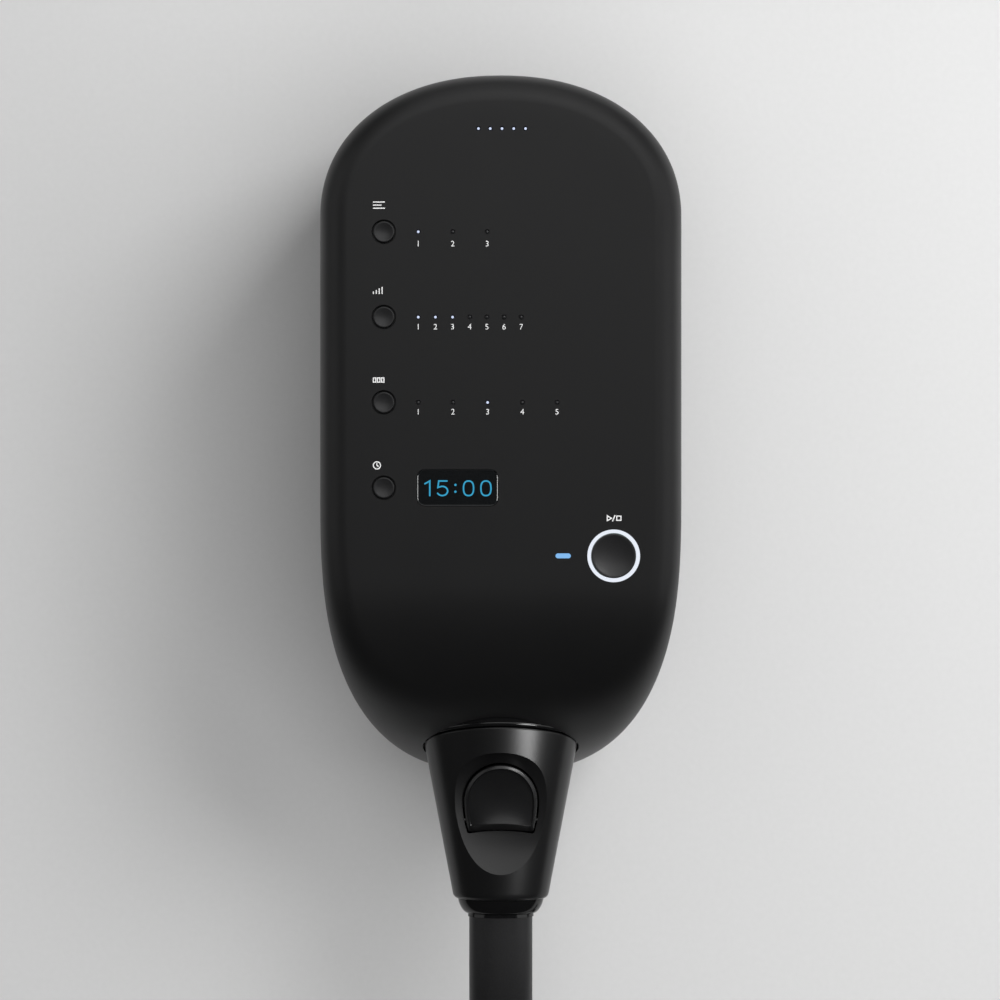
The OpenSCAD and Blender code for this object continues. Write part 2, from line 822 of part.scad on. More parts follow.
module port_block() {
    socket_len = nozzle_len + 4;
    color(gloss_colour) difference() {
        union() {
            ellipse_prism(port_w, port_h, -half_len, port_back);
            slab(-13, 13, port_back - 10, port_back - 2,
                 port_z - port_h / 2 - 2, port_z - port_h / 2 + 2);
            for (x = nozzle_x) translate([x, 0, socket_z]) rod_y(barb_r, port_back - eps, port_back + 6);
        }
        beyond_rim(port_gap);
        for (x = nozzle_x) translate([x, 0, socket_z])
            rod_y(nozzle_r + 0.75, -half_len - 1, rim_y + socket_len);
        slab(-hook_half - 0.5, hook_half + 0.5, -half_len, hook_y[1] + 4,
             hook_z[0] - 3.6, hook_z[1] + hook_rise + hook_gap);
        slab(-hook_half - 0.5, hook_half + 0.5, hook_y[0] - 0.3, hook_y[1] + 4,
             hook_z[1], hook_z[1] + hook_rise + catch_rise);
    }
}

module port_gasket() {
    color(rubber_colour) intersection() {
        difference() {
            ellipse_prism(port_w - 2.4, port_h - 2.4, -half_len, port_back - 4);
            ellipse_prism(port_w - 5, port_h - 5, -half_len - 1, port_back);
        }
        difference() {
            beyond_rim(port_gap);
            beyond_rim(port_gap - seal_t);
        }
    }
}

// Half width and half height of the connector at the distance t behind the rim's middle.
function plug_a(t) = tail_w / 2 + (rim_w - tail_w) / 2 * (1 - t / body_len);
function plug_b(t) = tail_h / 2 + (rim_h - tail_h) / 2 * (1 - t / body_len);
// Ring of the connector at t, drawn in by d.
plug_fn = 40;
function plug_ring(t, d) = [
    for (k = [0:plug_fn - 1])
        let (a = 360 * k / plug_fn)
        [(plug_a(t) - d) * cos(a), rim_y - t, port_z + (plug_b(t) - d) * sin(a)]];
plug_chamfer = 1.5;

module plug_body(d) {
    loft(concat(
        [for (t = [-9, 15, 30]) plug_ring(t, d)],
        d > 0 ? [plug_ring(body_len - d, d)]
        : [plug_ring(body_len, 0), plug_ring(body_len + plug_chamfer, plug_chamfer)]));
}

scoop_y = rim_y - 21.5;
scoop_size = [34, 20.4, 9];
function plug_top(y) = port_z + plug_b(rim_y - y);

module thumb_scoop(grow) {
    s = scoop_size + [grow, grow, grow];
    translate([0, scoop_y, plug_top(scoop_y) + scoop_size.z - scoop_depth])
        scale([s.x / s.z, s.y / s.z, 1]) sphere(r = s.z, $fn = 48);
}

pad_y = rim_y - 5.5;           // port side of the thumb pad
pad_mid = pad_y - pad_w / 2;   // where the pad is widest
pad_corner_r = 0.8;
pad_taper = 20.6;              // the sides are arcs of an ellipse of this half length
pad_hollow = 0.9;              // how far the hose side curves inwards

// Outline of the thumb pad: half a circle towards the port, sides that draw in, a hollow hose side.
module pad_outline(grow) {
    low = pad_len - pad_w / 2;
    low_x = pad_w / 2 * sqrt(1 - pow(low / pad_taper, 2));
    translate([0, pad_mid]) offset(r = grow + pad_corner_r) offset(delta = -pad_corner_r) polygon(concat(
        [for (a = [0:7.5:180]) pad_w / 2 * [cos(a), sin(a)]],
        [for (k = [1:4]) [-pad_w / 2 * sqrt(1 - pow(k * low / 4 / pad_taper, 2)), -k * low / 4]],
        [for (k = [-3:3]) [low_x * k / 4, -low + pad_hollow * (1 - pow(k / 4, 2))]],
        [for (k = [4:-1:1]) [pad_w / 2 * sqrt(1 - pow(k * low / 4 / pad_taper, 2)), -k * low / 4]]));
}

pivot = [0, rim_y - 23.4, port_z + 7.2];
pin_r = 1.2;
ear_x = [pad_w / 2 + pad_gap + 0.4, pad_w / 2 + pad_gap + 2.9];
shell_screw_places = [[7.5, rim_y - 39]];
shell_screw_r = 1.1;

module connector_upper_shell() {
    color(casing_colour) difference() {
        union() {
            difference() {
                plug_body(0);
                difference() {
                    plug_body(plug_wall);
                    thumb_scoop(plug_wall);
                }
            }
            intersection() {
                plug_body(0);
                union() {
                    mirrored_x() slab(ear_x[0], ear_x[1], pivot.y - 2.6, pivot.y + 2.6,
                                      pivot.z - 2.6, port_z + 20);
                    mirrored_x() for (p = shell_screw_places) translate(p) post(2.8, port_z, port_z + 20);
                }
            }
        }
        translate([-60, -200, 0]) cube([120, 200, port_z]);
        inside_rim();
        thumb_scoop(0);
        translate([0, 0, port_z + 2]) linear_extrude(20) pad_outline(pad_gap);
        // the way of the latch's arm through the bowl of the scoop
        slab(-hook_half - 0.5, hook_half + 0.5, pad_y - 5, rim_y, hook_z[0] - 3.6, hook_z[1] + 0.4);
        translate(pivot) rod_x(pin_r + seat_fit / 3, 2 * ear_x[1] + 4);
        mirrored_x() for (p = shell_screw_places)
            translate(p) post(shell_screw_r + seat_fit, port_z - 1, port_z + 7, 24);
    }
}

// Everything on the pump side of the rim's plane.
module inside_rim() {
    translate([0, rim_y, port_z]) rotate([-rim_tilt, 0, 0])
        translate([-60, 0, -100]) cube([120, 100, 200]);
}

module connector_lower_shell() {
    head_z = port_z - 9.5;
    color(casing_colour) difference() {
        union() {
            difference() {
                plug_body(0);
                plug_body(plug_wall);
            }
            intersection() {
                plug_body(0);
                mirrored_x() for (p = shell_screw_places) translate(p) post(2.8, port_z - 20, port_z);
            }
        }
        translate([-60, -200, port_z]) cube([120, 200, 60]);
        inside_rim();
        mirrored_x() for (p = shell_screw_places) translate(p) {
            post(shell_screw_r + 0.2, port_z - 20, port_z + 1, 24);
            post(2.2, port_z - 20, head_z);
        }
    }
}

module connector_screws() {
    head_z = port_z - 9.5;
    color(metal_colour) mirrored_x() for (p = shell_screw_places) translate(p) {
        post(shell_screw_r, head_z - eps, port_z + 6.5, 24);
        post(2, head_z - 1.2, head_z, 24);
    }
}

lumen_block = [17, 13];        // half width and length of the block that holds the nozzles
lumen_y = rim_y - 7;
lumen_top = port_z + 1;

module connector_nozzles() {
    color(gloss_colour) {
        intersection() {
            plug_body(plug_wall);
            slab(-lumen_block[0], lumen_block[0], lumen_y - lumen_block[1], lumen_y, port_z - 16, lumen_top);
        }
        for (x = nozzle_x) translate([x, 0, socket_z]) difference() {
            rod_y(nozzle_r, lumen_y - eps, rim_y + nozzle_len);
            rod_y(nozzle_r - 1.4, lumen_y, rim_y + nozzle_len + 1);
        }
    }
}

module nozzle_seals() {
    color(rubber_colour) for (x = nozzle_x, y = [6, 10])
        translate([x, rim_y + y, socket_z]) rotate([-90, 0, 0]) rotate_extrude($fn = round_fn)
            translate([nozzle_r, 0]) square([0.65, 1.4]);
}

collar_len = 5.7;
collar_swell = 0.75;           // roundness of the collar's side
collar_rim = 1;                // straight end of the collar at the hose
collar_lip = 0.4;              // step from the collar down to the hose
collar_y = rim_y - body_len - plug_chamfer;
hose_y = collar_y - collar_len;

module connector_collar() {
    w0 = tail_w / 2 - plug_chamfer - 0.1;
    h0 = tail_h / 2 - plug_chamfer - 0.1;
    ring = function (a, b, y) [
        for (k = [0:plug_fn - 1]) [a * cos(360 * k / plug_fn), y, port_z + b * sin(360 * k / plug_fn)]];
    w1 = hose_w / 2 + collar_lip;
    h1 = hose_t / 2 + collar_lip;
    color(gloss_colour) loft(concat(
        [for (f = [0:18:90])
            let (mix = pow(1 - cos(f), collar_swell))
            ring(w0 + (w1 - w0) * mix, h0 + (h1 - h0) * mix,
                 collar_y - (collar_len - collar_rim) * sin(f))],
        [ring(w1, h1, hose_y)]));
}

module latch_pin() {
    color(metal_colour) translate(pivot) rod_x(pin_r, 2 * ear_x[1]);
}

module release_latch() {
    pad_t = 3;
    color(casing_colour) difference() {
        union() {
            difference() {
                intersection() {
                    plug_body(0);
                    translate([0, 0, pivot.z + 0.6]) linear_extrude(20) pad_outline(0);
                }
                // the dished top
                translate([0, pad_y - pad_len / 2 - 0.5, plug_top(pad_y - pad_len / 2) + 18])
                    scale([1.4, 1.4, 1]) sphere(r = 19.6, $fn = 64);
                // the hollow underside
                translate([0, 0, -pad_t]) intersection() {
                    plug_body(0);
                    linear_extrude(200) pad_outline(-1.6);
                }
            }
            translate(pivot) rod_x(2.2, pad_w - 2);
            slab(-hook_half, hook_half, pad_y - 10, hook_y[1], hook_z[0], hook_z[1]);
            slab(-hook_half, hook_half, pad_y - 10, pad_y - 2, hook_z[0], hook_z[1] + 1.9);
            slab(-hook_half, hook_half, hook_y[0], hook_y[1], hook_z[1] - eps, hook_z[1] + hook_rise);
        }
        translate(pivot) rod_x(pin_r + shaft_fit, pad_w + 2);
    }
}

// Wire spring: turns of one unbroken helix, standing on z = 0.
module wire_spring(r, wire_r, height, turns) {
    per_turn = 8;
    sides = 6;
    count = turns * per_turn;
    pitch = (height - 2 * wire_r) / turns;
    rings = [for (k = [0:count])
        let (a = 360 * k / per_turn)
        [for (s = [0:sides - 1])
            let (b = 360 * s / sides)
            [(r + wire_r * cos(b)) * cos(a), (r + wire_r * cos(b)) * sin(a),
             wire_r + pitch * k / per_turn - wire_r * sin(b)]]];
    loft(rings);
}

spring_y = pad_y - 7;
spring_base = lumen_top;
spring_top = hook_z[0] - slide_fit;
module latch_spring() {
    color(metal_colour) translate([0, spring_y, spring_base])
        wire_spring(2.4, 0.35, spring_top - spring_base, 4);
}

// ---- hose ----

// The hose's section has flat sides, so its corners stand a little further out.
hose_sides = 8;
corner = 1 / cos(180 / hose_sides);
hose_section = [for (k = [0:hose_sides - 1])
    let (a = 360 * (k + 0.5) / hose_sides)
    [hose_w / 2 * corner * cos(a), hose_t / 2 * corner * sin(a)]];

coil_centre = [32.5, hose_y - 165];
coil_turns = 1.5;
turn_pitch = hose_w + turn_gap;
hose_z = hose_t / 2;
ring_step = 15;
coil_rings = coil_turns * 360 / ring_step;
// The spiral winds outwards, anticlockwise, from its left side.
function spiral_r(k) = coil_r + turn_pitch * k / (360 / ring_step);
function spiral_pt(k) =
    let (a = 180 + ring_step * k)
    [coil_centre.x + spiral_r(k) * cos(a), coil_centre.y + spiral_r(k) * sin(a), hose_z];

// Middle line of the hose from the connector down to the first turn: y counts from hose_y
run_points = [
    [0, -5, 68], [0, -10, 68], [0, -19, 67.7], [0, -28, 66.6], [0, -37, 64.8], [0, -46, 62.3],
    [-0.6, -55, 58.9], [-2.2, -63.8, 54.6], [-4.6, -72.5, 49.3], [-7.9, -80.9, 42.8],
    [-12.1, -88.9, 35.2], [-17, -96.4, 27.9], [-22.7, -103.4, 22.1], [-29.1, -109.7, 17.4],
    [-35, -116.4, 13.6], [-40.1, -123.7, 10.7], [-44.5, -131.5, 8.6], [-48.1, -139.8, 7.2],
    [-50.8, -148.4, 6.6], [-52.6, -157.3, 6.5]];

function unit(v) = v / norm(v);
function flat_unit(v) = unit([v.x, v.y, 0]);

// Tube of the hose's section along points: the wide side stays level.
module hose_tube(points, first, last) {
    n = len(points);
    rings = [for (k = [0:n - 1])
        let (
            along = k == 0 ? first : k == n - 1 ? last : unit(points[k + 1] - points[k - 1]),
            side = flat_unit(cross(along, [0, 0, 1])),
            up = cross(side, along))
        [for (s = hose_section) points[k] - s.x * side + s.y * up]];
    color([0.1, 0.1, 0.1]) loft(rings);
}

module hose_run() {
    hose_tube(concat([[0, hose_y, port_z]], [for (p = run_points) [p.x, hose_y + p.y, p.z]],
                     [spiral_pt(0)]), [0, -1, 0], [0, -1, 0]);
}

tail_len = 30;
tail_end = spiral_pt(coil_rings) + [0, tail_len, 0];
module hose_coil() {
    points = concat(
        [for (k = [0:coil_rings]) spiral_pt(k)],
        [for (s = [0.5, 1]) spiral_pt(coil_rings) + [0, s * tail_len, 0]]);
    hose_tube(points, [0, -1, 0], [0, 1, 0]);
}
least_gap = min([for (k = [0:coil_rings - 360 / ring_step])
    norm(spiral_pt(k + 360 / ring_step) - spiral_pt(k)) - hose_w]);
echo(least_gap_between_turns = least_gap);

// ---- plug at the far end of the hose, in its own frame: +Y to the nozzles ----

far_w = [23, 30];              // width at the hose and at the nozzles
far_top = [7.6, 9];            // height above the middle, at the same places
far_collar = 10;
far_len = 38;
far_power = 2.6;
far_end = far_collar + far_len;
far_pivot = [0, 32, 5];
far_pin_r = 0.8;
lever_half = 7.4;
lever_gap = 0.8;
lever_y = [18, 50];
lever_bottom = 5.8;
recess_floor = 2.9;
far_nozzle_x = [-7, 0, 7];
far_nozzle_r = 2.4;
far_nozzle_z = -1.3;
far_nozzle_len = 10;
far_angle = 7;

function far_ring(y, a, top) = [
    for (k = [0:plug_fn - 1])
        let (t = -360 * k / plug_fn, h = sin(t) > 0 ? top : hose_t / 2)
        [a * signed_pow(cos(t), 2 / far_power), y, h * signed_pow(sin(t), 2 / far_power)]];

module far_body() {
    edge = 1.5;
    loft([
        far_ring(far_collar, far_w[0] / 2 - edge, far_top[0] - edge),
        far_ring(far_collar + edge, far_w[0] / 2, far_top[0]),
        far_ring(far_end - edge / 2, far_w[1] / 2, far_top[1]),
        far_ring(far_end, far_w[1] / 2 - edge / 2, far_top[1] - edge / 2)]);
}

module far_block() {
    slab(-9.6, 9.6, far_end - 18, far_end - 1, far_nozzle_z - 2.6, far_nozzle_z + 2.9);
}

module far_cavity() {
    slab(-9.7, 9.7, far_end - 18.1, far_end + 1, far_nozzle_z - 2.7, far_nozzle_z + 3);
}

module far_plug_upper() {
    color(casing_colour) translate(tail_end) difference() {
        intersection() {
            far_body();
            slab(-20, 20, 0, far_end + 1, 0, 20);
        }
        far_cavity();
        slab(-lever_half - lever_gap, lever_half + lever_gap, lever_y[0] - lever_gap, far_end + 1,
             recess_floor, 20);
        translate([0, lever_y[0] + 4, recess_floor - 1.8]) cylinder(r = 2.6, h = 5, $fn = round_fn);
        translate(far_pivot) rod_x(far_pin_r + seat_fit / 3, 2 * lever_half + 9);
    }
}

module far_plug_lower() {
    color(casing_colour) translate(tail_end) difference() {
        intersection() {
            far_body();
            slab(-20, 20, 0, far_end + 1, -20, 0);
        }
        far_cavity();
    }
}

module far_plug_nozzles() {
    color(gloss_colour) translate(tail_end) difference() {
        union() {
            far_block();
            for (x = far_nozzle_x) translate([x, 0, far_nozzle_z])
                rod_y(far_nozzle_r, far_end - 1 - eps, far_end + far_nozzle_len);
        }
        for (x = far_nozzle_x) translate([x, 0, far_nozzle_z])
            rod_y(far_nozzle_r - 1, far_end, far_end + far_nozzle_len + 1);
    }
}

module far_plug_seals() {
    color(rubber_colour) for (x = far_nozzle_x)
        translate(tail_end + [x, far_end + 4, far_nozzle_z]) rotate([-90, 0, 0])
            rotate_extrude($fn = round_fn) translate([far_nozzle_r, 0]) square([0.6, 1.3]);
}

module far_plug_collar() {
    color(gloss_colour) translate(tail_end) loft([
        far_ring(0, hose_w / 2 + 0.3, hose_t / 2 + 0.3),
        far_ring(far_collar - 2, hose_w / 2 + 0.6, hose_t / 2 + 0.5),
        far_ring(far_collar, far_w[0] / 2 - 1.5, far_top[0] - 1.5)]);
}

module far_plug_latch() {
    color(casing_colour) translate(tail_end) difference() {
        union() {
            intersection() {
                far_body();
                slab(-lever_half, lever_half, lever_y[0], lever_y[1], lever_bottom, 20);
            }
            translate(far_pivot) rod_x(1.7, 2 * lever_half);
            slab(-4, 4, lever_y[1] - 4, lever_y[1] + 6, lever_bottom, lever_bottom + 2);
            slab(-4, 4, lever_y[1] + 4, lever_y[1] + 6, lever_bottom - 2, lever_bottom + eps);
        }
        translate(far_pivot) rod_x(far_pin_r + shaft_fit, 2 * lever_half + 2);
    }
}

module far_latch_pin() {
    color(metal_colour) translate(tail_end + far_pivot) rod_x(far_pin_r, 2 * lever_half + 8);
}

module far_latch_spring() {
    base = recess_floor - 1.8;
    color(metal_colour) translate(tail_end + [0, lever_y[0] + 4, base])
        wire_spring(1.8, 0.3, lever_bottom - slide_fit - base, 3);
}

front_shell();
rear_shell();
port_block();
port_gasket();
display_window();
display_module();
light_row(light_rows[3]);  // battery_lights
light_row(light_rows[0]);  // program_lights
light_row(light_rows[1]);  // pressure_lights
light_row(light_rows[2]);  // zone_lights
link_light();
start_light_ring();
control_board();
key_switches();
board_screws();
main_board();
battery_pack();
chassis_frame();
pump_cradle();
compressor_grommets();
motor_can();
motor_shaft();
pump_head();
valve_head();
supply_tube();
valve_manifold();
solenoid_valves();
air_tubes();
charge_jack();
power_switch();
power_button();
ribbon_cable();
intake_filter();
rear_feet();
casing_screws();
small_button(0);  // program_button
small_button(1);  // pressure_button
small_button(2);  // zone_button
small_button(3);  // time_button
start_button();
connector_upper_shell();
connector_lower_shell();
connector_nozzles();
nozzle_seals();
connector_collar();
connector_screws();
latch_pin();
latch_spring();
release_latch();
hose_run();
hose_coil();
far_plug_upper();
far_plug_lower();
far_plug_nozzles();
far_plug_seals();
far_plug_collar();
far_plug_latch();
far_latch_pin();
far_latch_spring();
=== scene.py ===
import math

import bmesh
import bpy
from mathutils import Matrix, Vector


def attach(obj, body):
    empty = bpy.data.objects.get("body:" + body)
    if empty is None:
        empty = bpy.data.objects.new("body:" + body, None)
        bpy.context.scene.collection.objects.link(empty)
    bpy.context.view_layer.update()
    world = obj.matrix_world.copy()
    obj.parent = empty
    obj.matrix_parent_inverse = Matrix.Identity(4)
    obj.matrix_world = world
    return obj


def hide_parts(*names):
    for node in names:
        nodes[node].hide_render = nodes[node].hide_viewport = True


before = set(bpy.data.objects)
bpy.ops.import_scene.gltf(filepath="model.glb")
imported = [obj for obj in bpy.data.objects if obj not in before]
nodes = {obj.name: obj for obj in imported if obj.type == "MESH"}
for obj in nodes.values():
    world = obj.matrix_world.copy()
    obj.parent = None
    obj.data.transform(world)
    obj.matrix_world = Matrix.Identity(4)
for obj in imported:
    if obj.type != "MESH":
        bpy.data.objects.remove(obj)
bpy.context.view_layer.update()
scene = bpy.context.scene


# ---- Camera ----
# It looks straight down at the pump's face, which fills the middle of the picture, from 1.2 m
# up. The lens is long, so the sides of the casing hardly show.

camera = bpy.data.objects.new("camera", bpy.data.cameras.new("camera"))
camera.location = (-0.00025, -0.0215, 1.19)
camera.data.lens = 127.7
camera.data.sensor_width = 36
scene.collection.objects.link(camera)
scene.camera = camera


# ---- Air hose ----
# A flat oval hose of black rubber, 20 mm wide, that leaves the connector and sinks to the table.
# The rest is put away in one and a half flat turns. Moulded in one length, with a satin skin.

MM = 0.001
HOSE_W = 20
HOSE_T = 13
HOSE_POWER = 2.3
HOSE_START = (0, -153, 68)
HOSE_ROUTE = [
    HOSE_START, (0, -158, 68), (0, -163, 68), (0, -172, 67.7), (0, -181, 66.6), (0, -190, 64.8),
    (0, -199, 62.3), (-0.6, -208, 58.9), (-2.2, -216.8, 54.6), (-4.6, -225.5, 49.3),
    (-7.9, -233.9, 42.8), (-12.1, -241.9, 35.2), (-17, -249.4, 27.9), (-22.7, -256.4, 22.1),
    (-29.1, -262.7, 17.4), (-35, -269.4, 13.6), (-40.1, -276.7, 10.7), (-44.5, -284.5, 8.6),
    (-48.1, -292.8, 7.2), (-50.8, -301.4, 6.6), (-52.6, -310.3, 6.5)]
COIL_X, COIL_Y = 32.5, -318
COIL_R = 86
TURN_PITCH = 21.3
COIL_TURNS = 1.5
COIL_STEP = 5
TAIL_LEN, TAIL_STEPS = 30, 5


def signed_power(value, power):
    """A power of the size of a value, with its sign kept."""
    return math.copysign(abs(value) ** power, value)


def oval(half_w, half_h, power, count):
    """Points of a superellipse, anticlockwise from its right end."""
    angles = [math.tau * k / count for k in range(count)]
    return [(half_w * signed_power(math.cos(a), 2 / power),
             half_h * signed_power(math.sin(a), 2 / power)) for a in angles]


def smooth_line(points, parts):
    """A curve through the points, with that many pieces between each two."""
    p = [Vector(q) for q in points]
    p = [2 * p[0] - p[1]] + p + [2 * p[-1] - p[-2]]
    line = []
    for a, b, c, d in zip(p, p[1:], p[2:], p[3:]):
        for k in range(parts):
            t = k / parts
            line.append(0.5 * (2 * b + (c - a) * t + (2 * a - 5 * b + 4 * c - d) * t ** 2
                               + (3 * b - a - 3 * c + d) * t ** 3))
    return line + [p[-2]]


def piece(name, points, faces, smooth_angle=35):
    """A mesh object from points in millimetres, with normals outwards and crisp edges kept."""
    mesh = bpy.data.meshes.new(name)
    mesh.from_pydata([Vector(p) * MM for p in points], [], faces)
    tidy = bmesh.new()
    tidy.from_mesh(mesh)
    bmesh.ops.remove_doubles(tidy, verts=tidy.verts, dist=1e-6)
    bmesh.ops.dissolve_degenerate(tidy, edges=tidy.edges, dist=1e-6)
    bmesh.ops.recalc_face_normals(tidy, faces=tidy.faces)
    tidy.to_mesh(mesh)
    tidy.free()
    made = bpy.data.objects.new(name, mesh)
    scene.collection.objects.link(made)
    soften(made, smooth_angle)
    return made


def soften(made, angle):
    """Smooth shading, apart from edges sharper than the angle in degrees."""
    made.data.shade_smooth()
    made.data.set_sharp_from_angle(angle=math.radians(angle))


def bands(count, rings, start=0, closed=True):
    """Faces between rings of points that follow each other in a list."""
    last = count if closed else count - 1
    return [(a, a + (j - i), a + (j - i) + count, a + count)
            for r in range(rings - 1) for i in range(last)
            for j in [(i + 1) % count] for a in [start + r * count + i]]


def loft(name, rings, smooth_angle=35):
    """A closed solid through rings of points."""
    count = len(rings[0])
    total = count * len(rings)
    faces = bands(count, len(rings))
    faces += [tuple(range(count)), tuple(range(total - count, total))]
    return piece(name, [p for ring in rings for p in ring], faces, smooth_angle)


def put_away_line():
    """Middle line of the hose: down to the table, round the coil, and its straight tail."""
    line = smooth_line(HOSE_ROUTE + [(COIL_X - COIL_R, COIL_Y, HOSE_T / 2)], 3)[:-1]
    for k in range(int(COIL_TURNS * 360 / COIL_STEP) + 1):
        r = COIL_R + TURN_PITCH * k * COIL_STEP / 360
        a = math.radians(180 + k * COIL_STEP)
        line.append(Vector((COIL_X + r * math.cos(a), COIL_Y + r * math.sin(a), HOSE_T / 2)))
    end = line[-1]
    return line + [end + Vector((0, TAIL_LEN * k / TAIL_STEPS, 0))
                   for k in range(1, TAIL_STEPS + 1)]


def hose_rings(line, section):
    """The section at each point of the line, with its wide side level."""
    rings = []
    for k, p in enumerate(line):
        along = (line[min(k + 1, len(line) - 1)] - line[max(k - 1, 0)]).normalized()
        side = along.cross(Vector((0, 0, 1))).normalized()
        up = side.cross(along)
        rings.append([p - x * side + y * up for x, y in section])
    return rings


def grained(name, colour, roughness, grain=0.25, grain_size=0.4, bump=0.05, wear=0.05,
            metallic=0.0):
    """Moulded or rubbed surface: a fine grain in colour and height, and a slow change of gloss."""
    made = bpy.data.materials.new(name)
    made.use_nodes = True
    tree = made.node_tree
    shader = tree.nodes["Principled BSDF"]
    shader.inputs["Metallic"].default_value = metallic
    place = tree.nodes.new("ShaderNodeTexCoord")
    fine = tree.nodes.new("ShaderNodeTexNoise")
    fine.inputs["Scale"].default_value = 1000 / grain_size
    fine.inputs["Detail"].default_value = 3
    broad = tree.nodes.new("ShaderNodeTexNoise")
    broad.inputs["Scale"].default_value = 35
    broad.inputs["Detail"].default_value = 4
    tint = tree.nodes.new("ShaderNodeValToRGB")
    tint.color_ramp.elements[0].position = 0.3
    tint.color_ramp.elements[0].color = (*[c * (1 - grain) for c in colour], 1)
    tint.color_ramp.elements[1].position = 0.7
    tint.color_ramp.elements[1].color = (*[c * (1 + grain) for c in colour], 1)
    gloss = tree.nodes.new("ShaderNodeMapRange")
    gloss.inputs["To Min"].default_value = roughness - wear
    gloss.inputs["To Max"].default_value = roughness + wear
    height = tree.nodes.new("ShaderNodeBump")
    height.inputs["Strength"].default_value = bump
    height.inputs["Distance"].default_value = grain_size * MM * 0.3
    link = tree.links.new
    link(place.outputs["Object"], fine.inputs["Vector"])
    link(place.outputs["Object"], broad.inputs["Vector"])
    link(fine.outputs["Fac"], tint.inputs["Fac"])
    link(broad.outputs["Fac"], gloss.inputs["Value"])
    link(fine.outputs["Fac"], height.inputs["Height"])
    link(tint.outputs["Color"], shader.inputs["Base Color"])
    link(gloss.outputs["Result"], shader.inputs["Roughness"])
    link(height.outputs["Normal"], shader.inputs["Normal"])
    return made


def dress(made, material, body, stands_for=()):
    """Gives a piece its material and its body, and hides the CAD nodes that it stands for."""
    made.data.materials.clear()
    made.data.materials.append(material)
    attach(made, body)
    if stands_for:
        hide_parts(*stands_for)


hose_rubber = grained("hose_rubber", (0.009, 0.009, 0.0095), 0.42, grain_size=0.5, bump=0.05)
hose_line = put_away_line()
hose = loft("air_hose", hose_rings(hose_line, oval(HOSE_W / 2, HOSE_T / 2, HOSE_POWER, 48)))
dress(hose, hose_rubber, "hose", ("hose_run", "hose_coil"))


# ---- Rear shell ----
# The lower half of the casing, moulded in matt black plastic with a rounded back edge.
# It has slots that let air in, wells for the screws, and a recess for the power controls.

CASE_HALF_W = 56
CASE_HALF_LEN = 110.1
FOOT_H = 3
FACE_Z = 99
WALL = 2.4
PARTING_Z = 32
TOP_CAP, TOP_POWER = 44.2, 2.17
CHIN_CAP, CHIN_POWER = 88.6, 2.6
TOP_Y = CASE_HALF_LEN - TOP_CAP
CHIN_Y = CHIN_CAP - CASE_HALF_LEN
BACK_R = 9
DRAFT = 2
GROOVE, GROOVE_H = 0.5, 0.6
CLOSE_FROM = -62
STATION_STEP = 2

stations = ([(math.radians(k), True) for k in range(0, 181, STATION_STEP)]
            + [(math.radians(k), False) for k in range(180, 361, STATION_STEP)])


def outline_point(station, inset):
    """A point of the casing's outline, moved in by an inset."""
    angle, on_top = station
    power = TOP_POWER if on_top else CHIN_POWER
    cap = TOP_CAP if on_top else CHIN_CAP
    return ((CASE_HALF_W - inset) * signed_power(math.cos(angle), 2 / power),
            (TOP_Y if on_top else CHIN_Y)
            + (cap - inset) * signed_power(math.sin(angle), 2 / power))


def flat_ring(inset, z):
    """The outline at one height."""
    return [(*outline_point(s, inset), z) for s in stations]


def closing_rings(edge, height, steps=8):
    """Rings that run in from the edge of the face to its middle line."""
    rings = []
    for k in range(1, steps + 1):
        ring = []
        for x, y, z in edge:
            y = y + (min(max(y, CLOSE_FROM), TOP_Y) - y) * k / steps
            ring.append((x * (1 - k / steps), y, height(y)))
        rings.append(ring)
    return rings


def shell(name, outer, inner):
    """A thin-walled half of the casing: both skins start at its open edge."""
    n = len(stations)
    inside = n * len(outer)
    faces = bands(n, len(outer)) + bands(n, len(inner), inside)
    faces += [(i, (i + 1) % n, inside + (i + 1) % n, inside + i) for i in range(n)]
    return piece(name, [p for ring in outer + inner for p in ring], faces)


def carve(body, cutters, smooth_angle=35):
    """Cuts the cutters out of a body and removes them."""
    for cutter in cutters:
        cut = body.modifiers.new("cut", "BOOLEAN")
        cut.object = cutter
        cut.solver = "EXACT"
    bpy.context.view_layer.update()
    carved = bpy.data.meshes.new_from_object(
        body.evaluated_get(bpy.context.evaluated_depsgraph_get()))
    body.modifiers.clear()
    body.data = carved
    for cutter in cutters:
        bpy.data.objects.remove(cutter)
    soften(body, smooth_angle)


def joined(name, pieces):
    """One object from several, none of which meet."""
    together = bmesh.new()
    for p in pieces:
        together.from_mesh(p.data)
        bpy.data.objects.remove(p)
    mesh = bpy.data.meshes.new(name)
    together.to_mesh(mesh)
    together.free()
    made = bpy.data.objects.new(name, mesh)
    scene.collection.objects.link(made)
    return made


def lathe(name, profile, centre, count=64):
    """A solid turned from (radius, height) pairs; it starts and ends on the axis."""
    x0, y0, z0 = centre
    points = []
    for r, h in profile:
        for k in range(count):
            a = math.tau * k / count
            points.append((x0 + r * math.cos(a), y0 + r * math.sin(a), z0 + h))
    faces = bands(count, len(profile))
    faces += [tuple(range(count)), tuple(range(count * (len(profile) - 1), count * len(profile)))]
    return piece(name, points, faces)


def stadium(half_w, half_h, radius, per_corner=8):
    """Outline of a rectangle with round corners, anticlockwise."""
    points = []
    for quarter, (sx, sy) in enumerate([(1, 1), (-1, 1), (-1, -1), (1, -1)]):
        for k in range(per_corner + 1):
            a = math.pi / 2 * (quarter + k / per_corner)
            points.append((sx * (half_w - radius) + radius * math.cos(a),
                           sy * (half_h - radius) + radius * math.sin(a)))
    return points


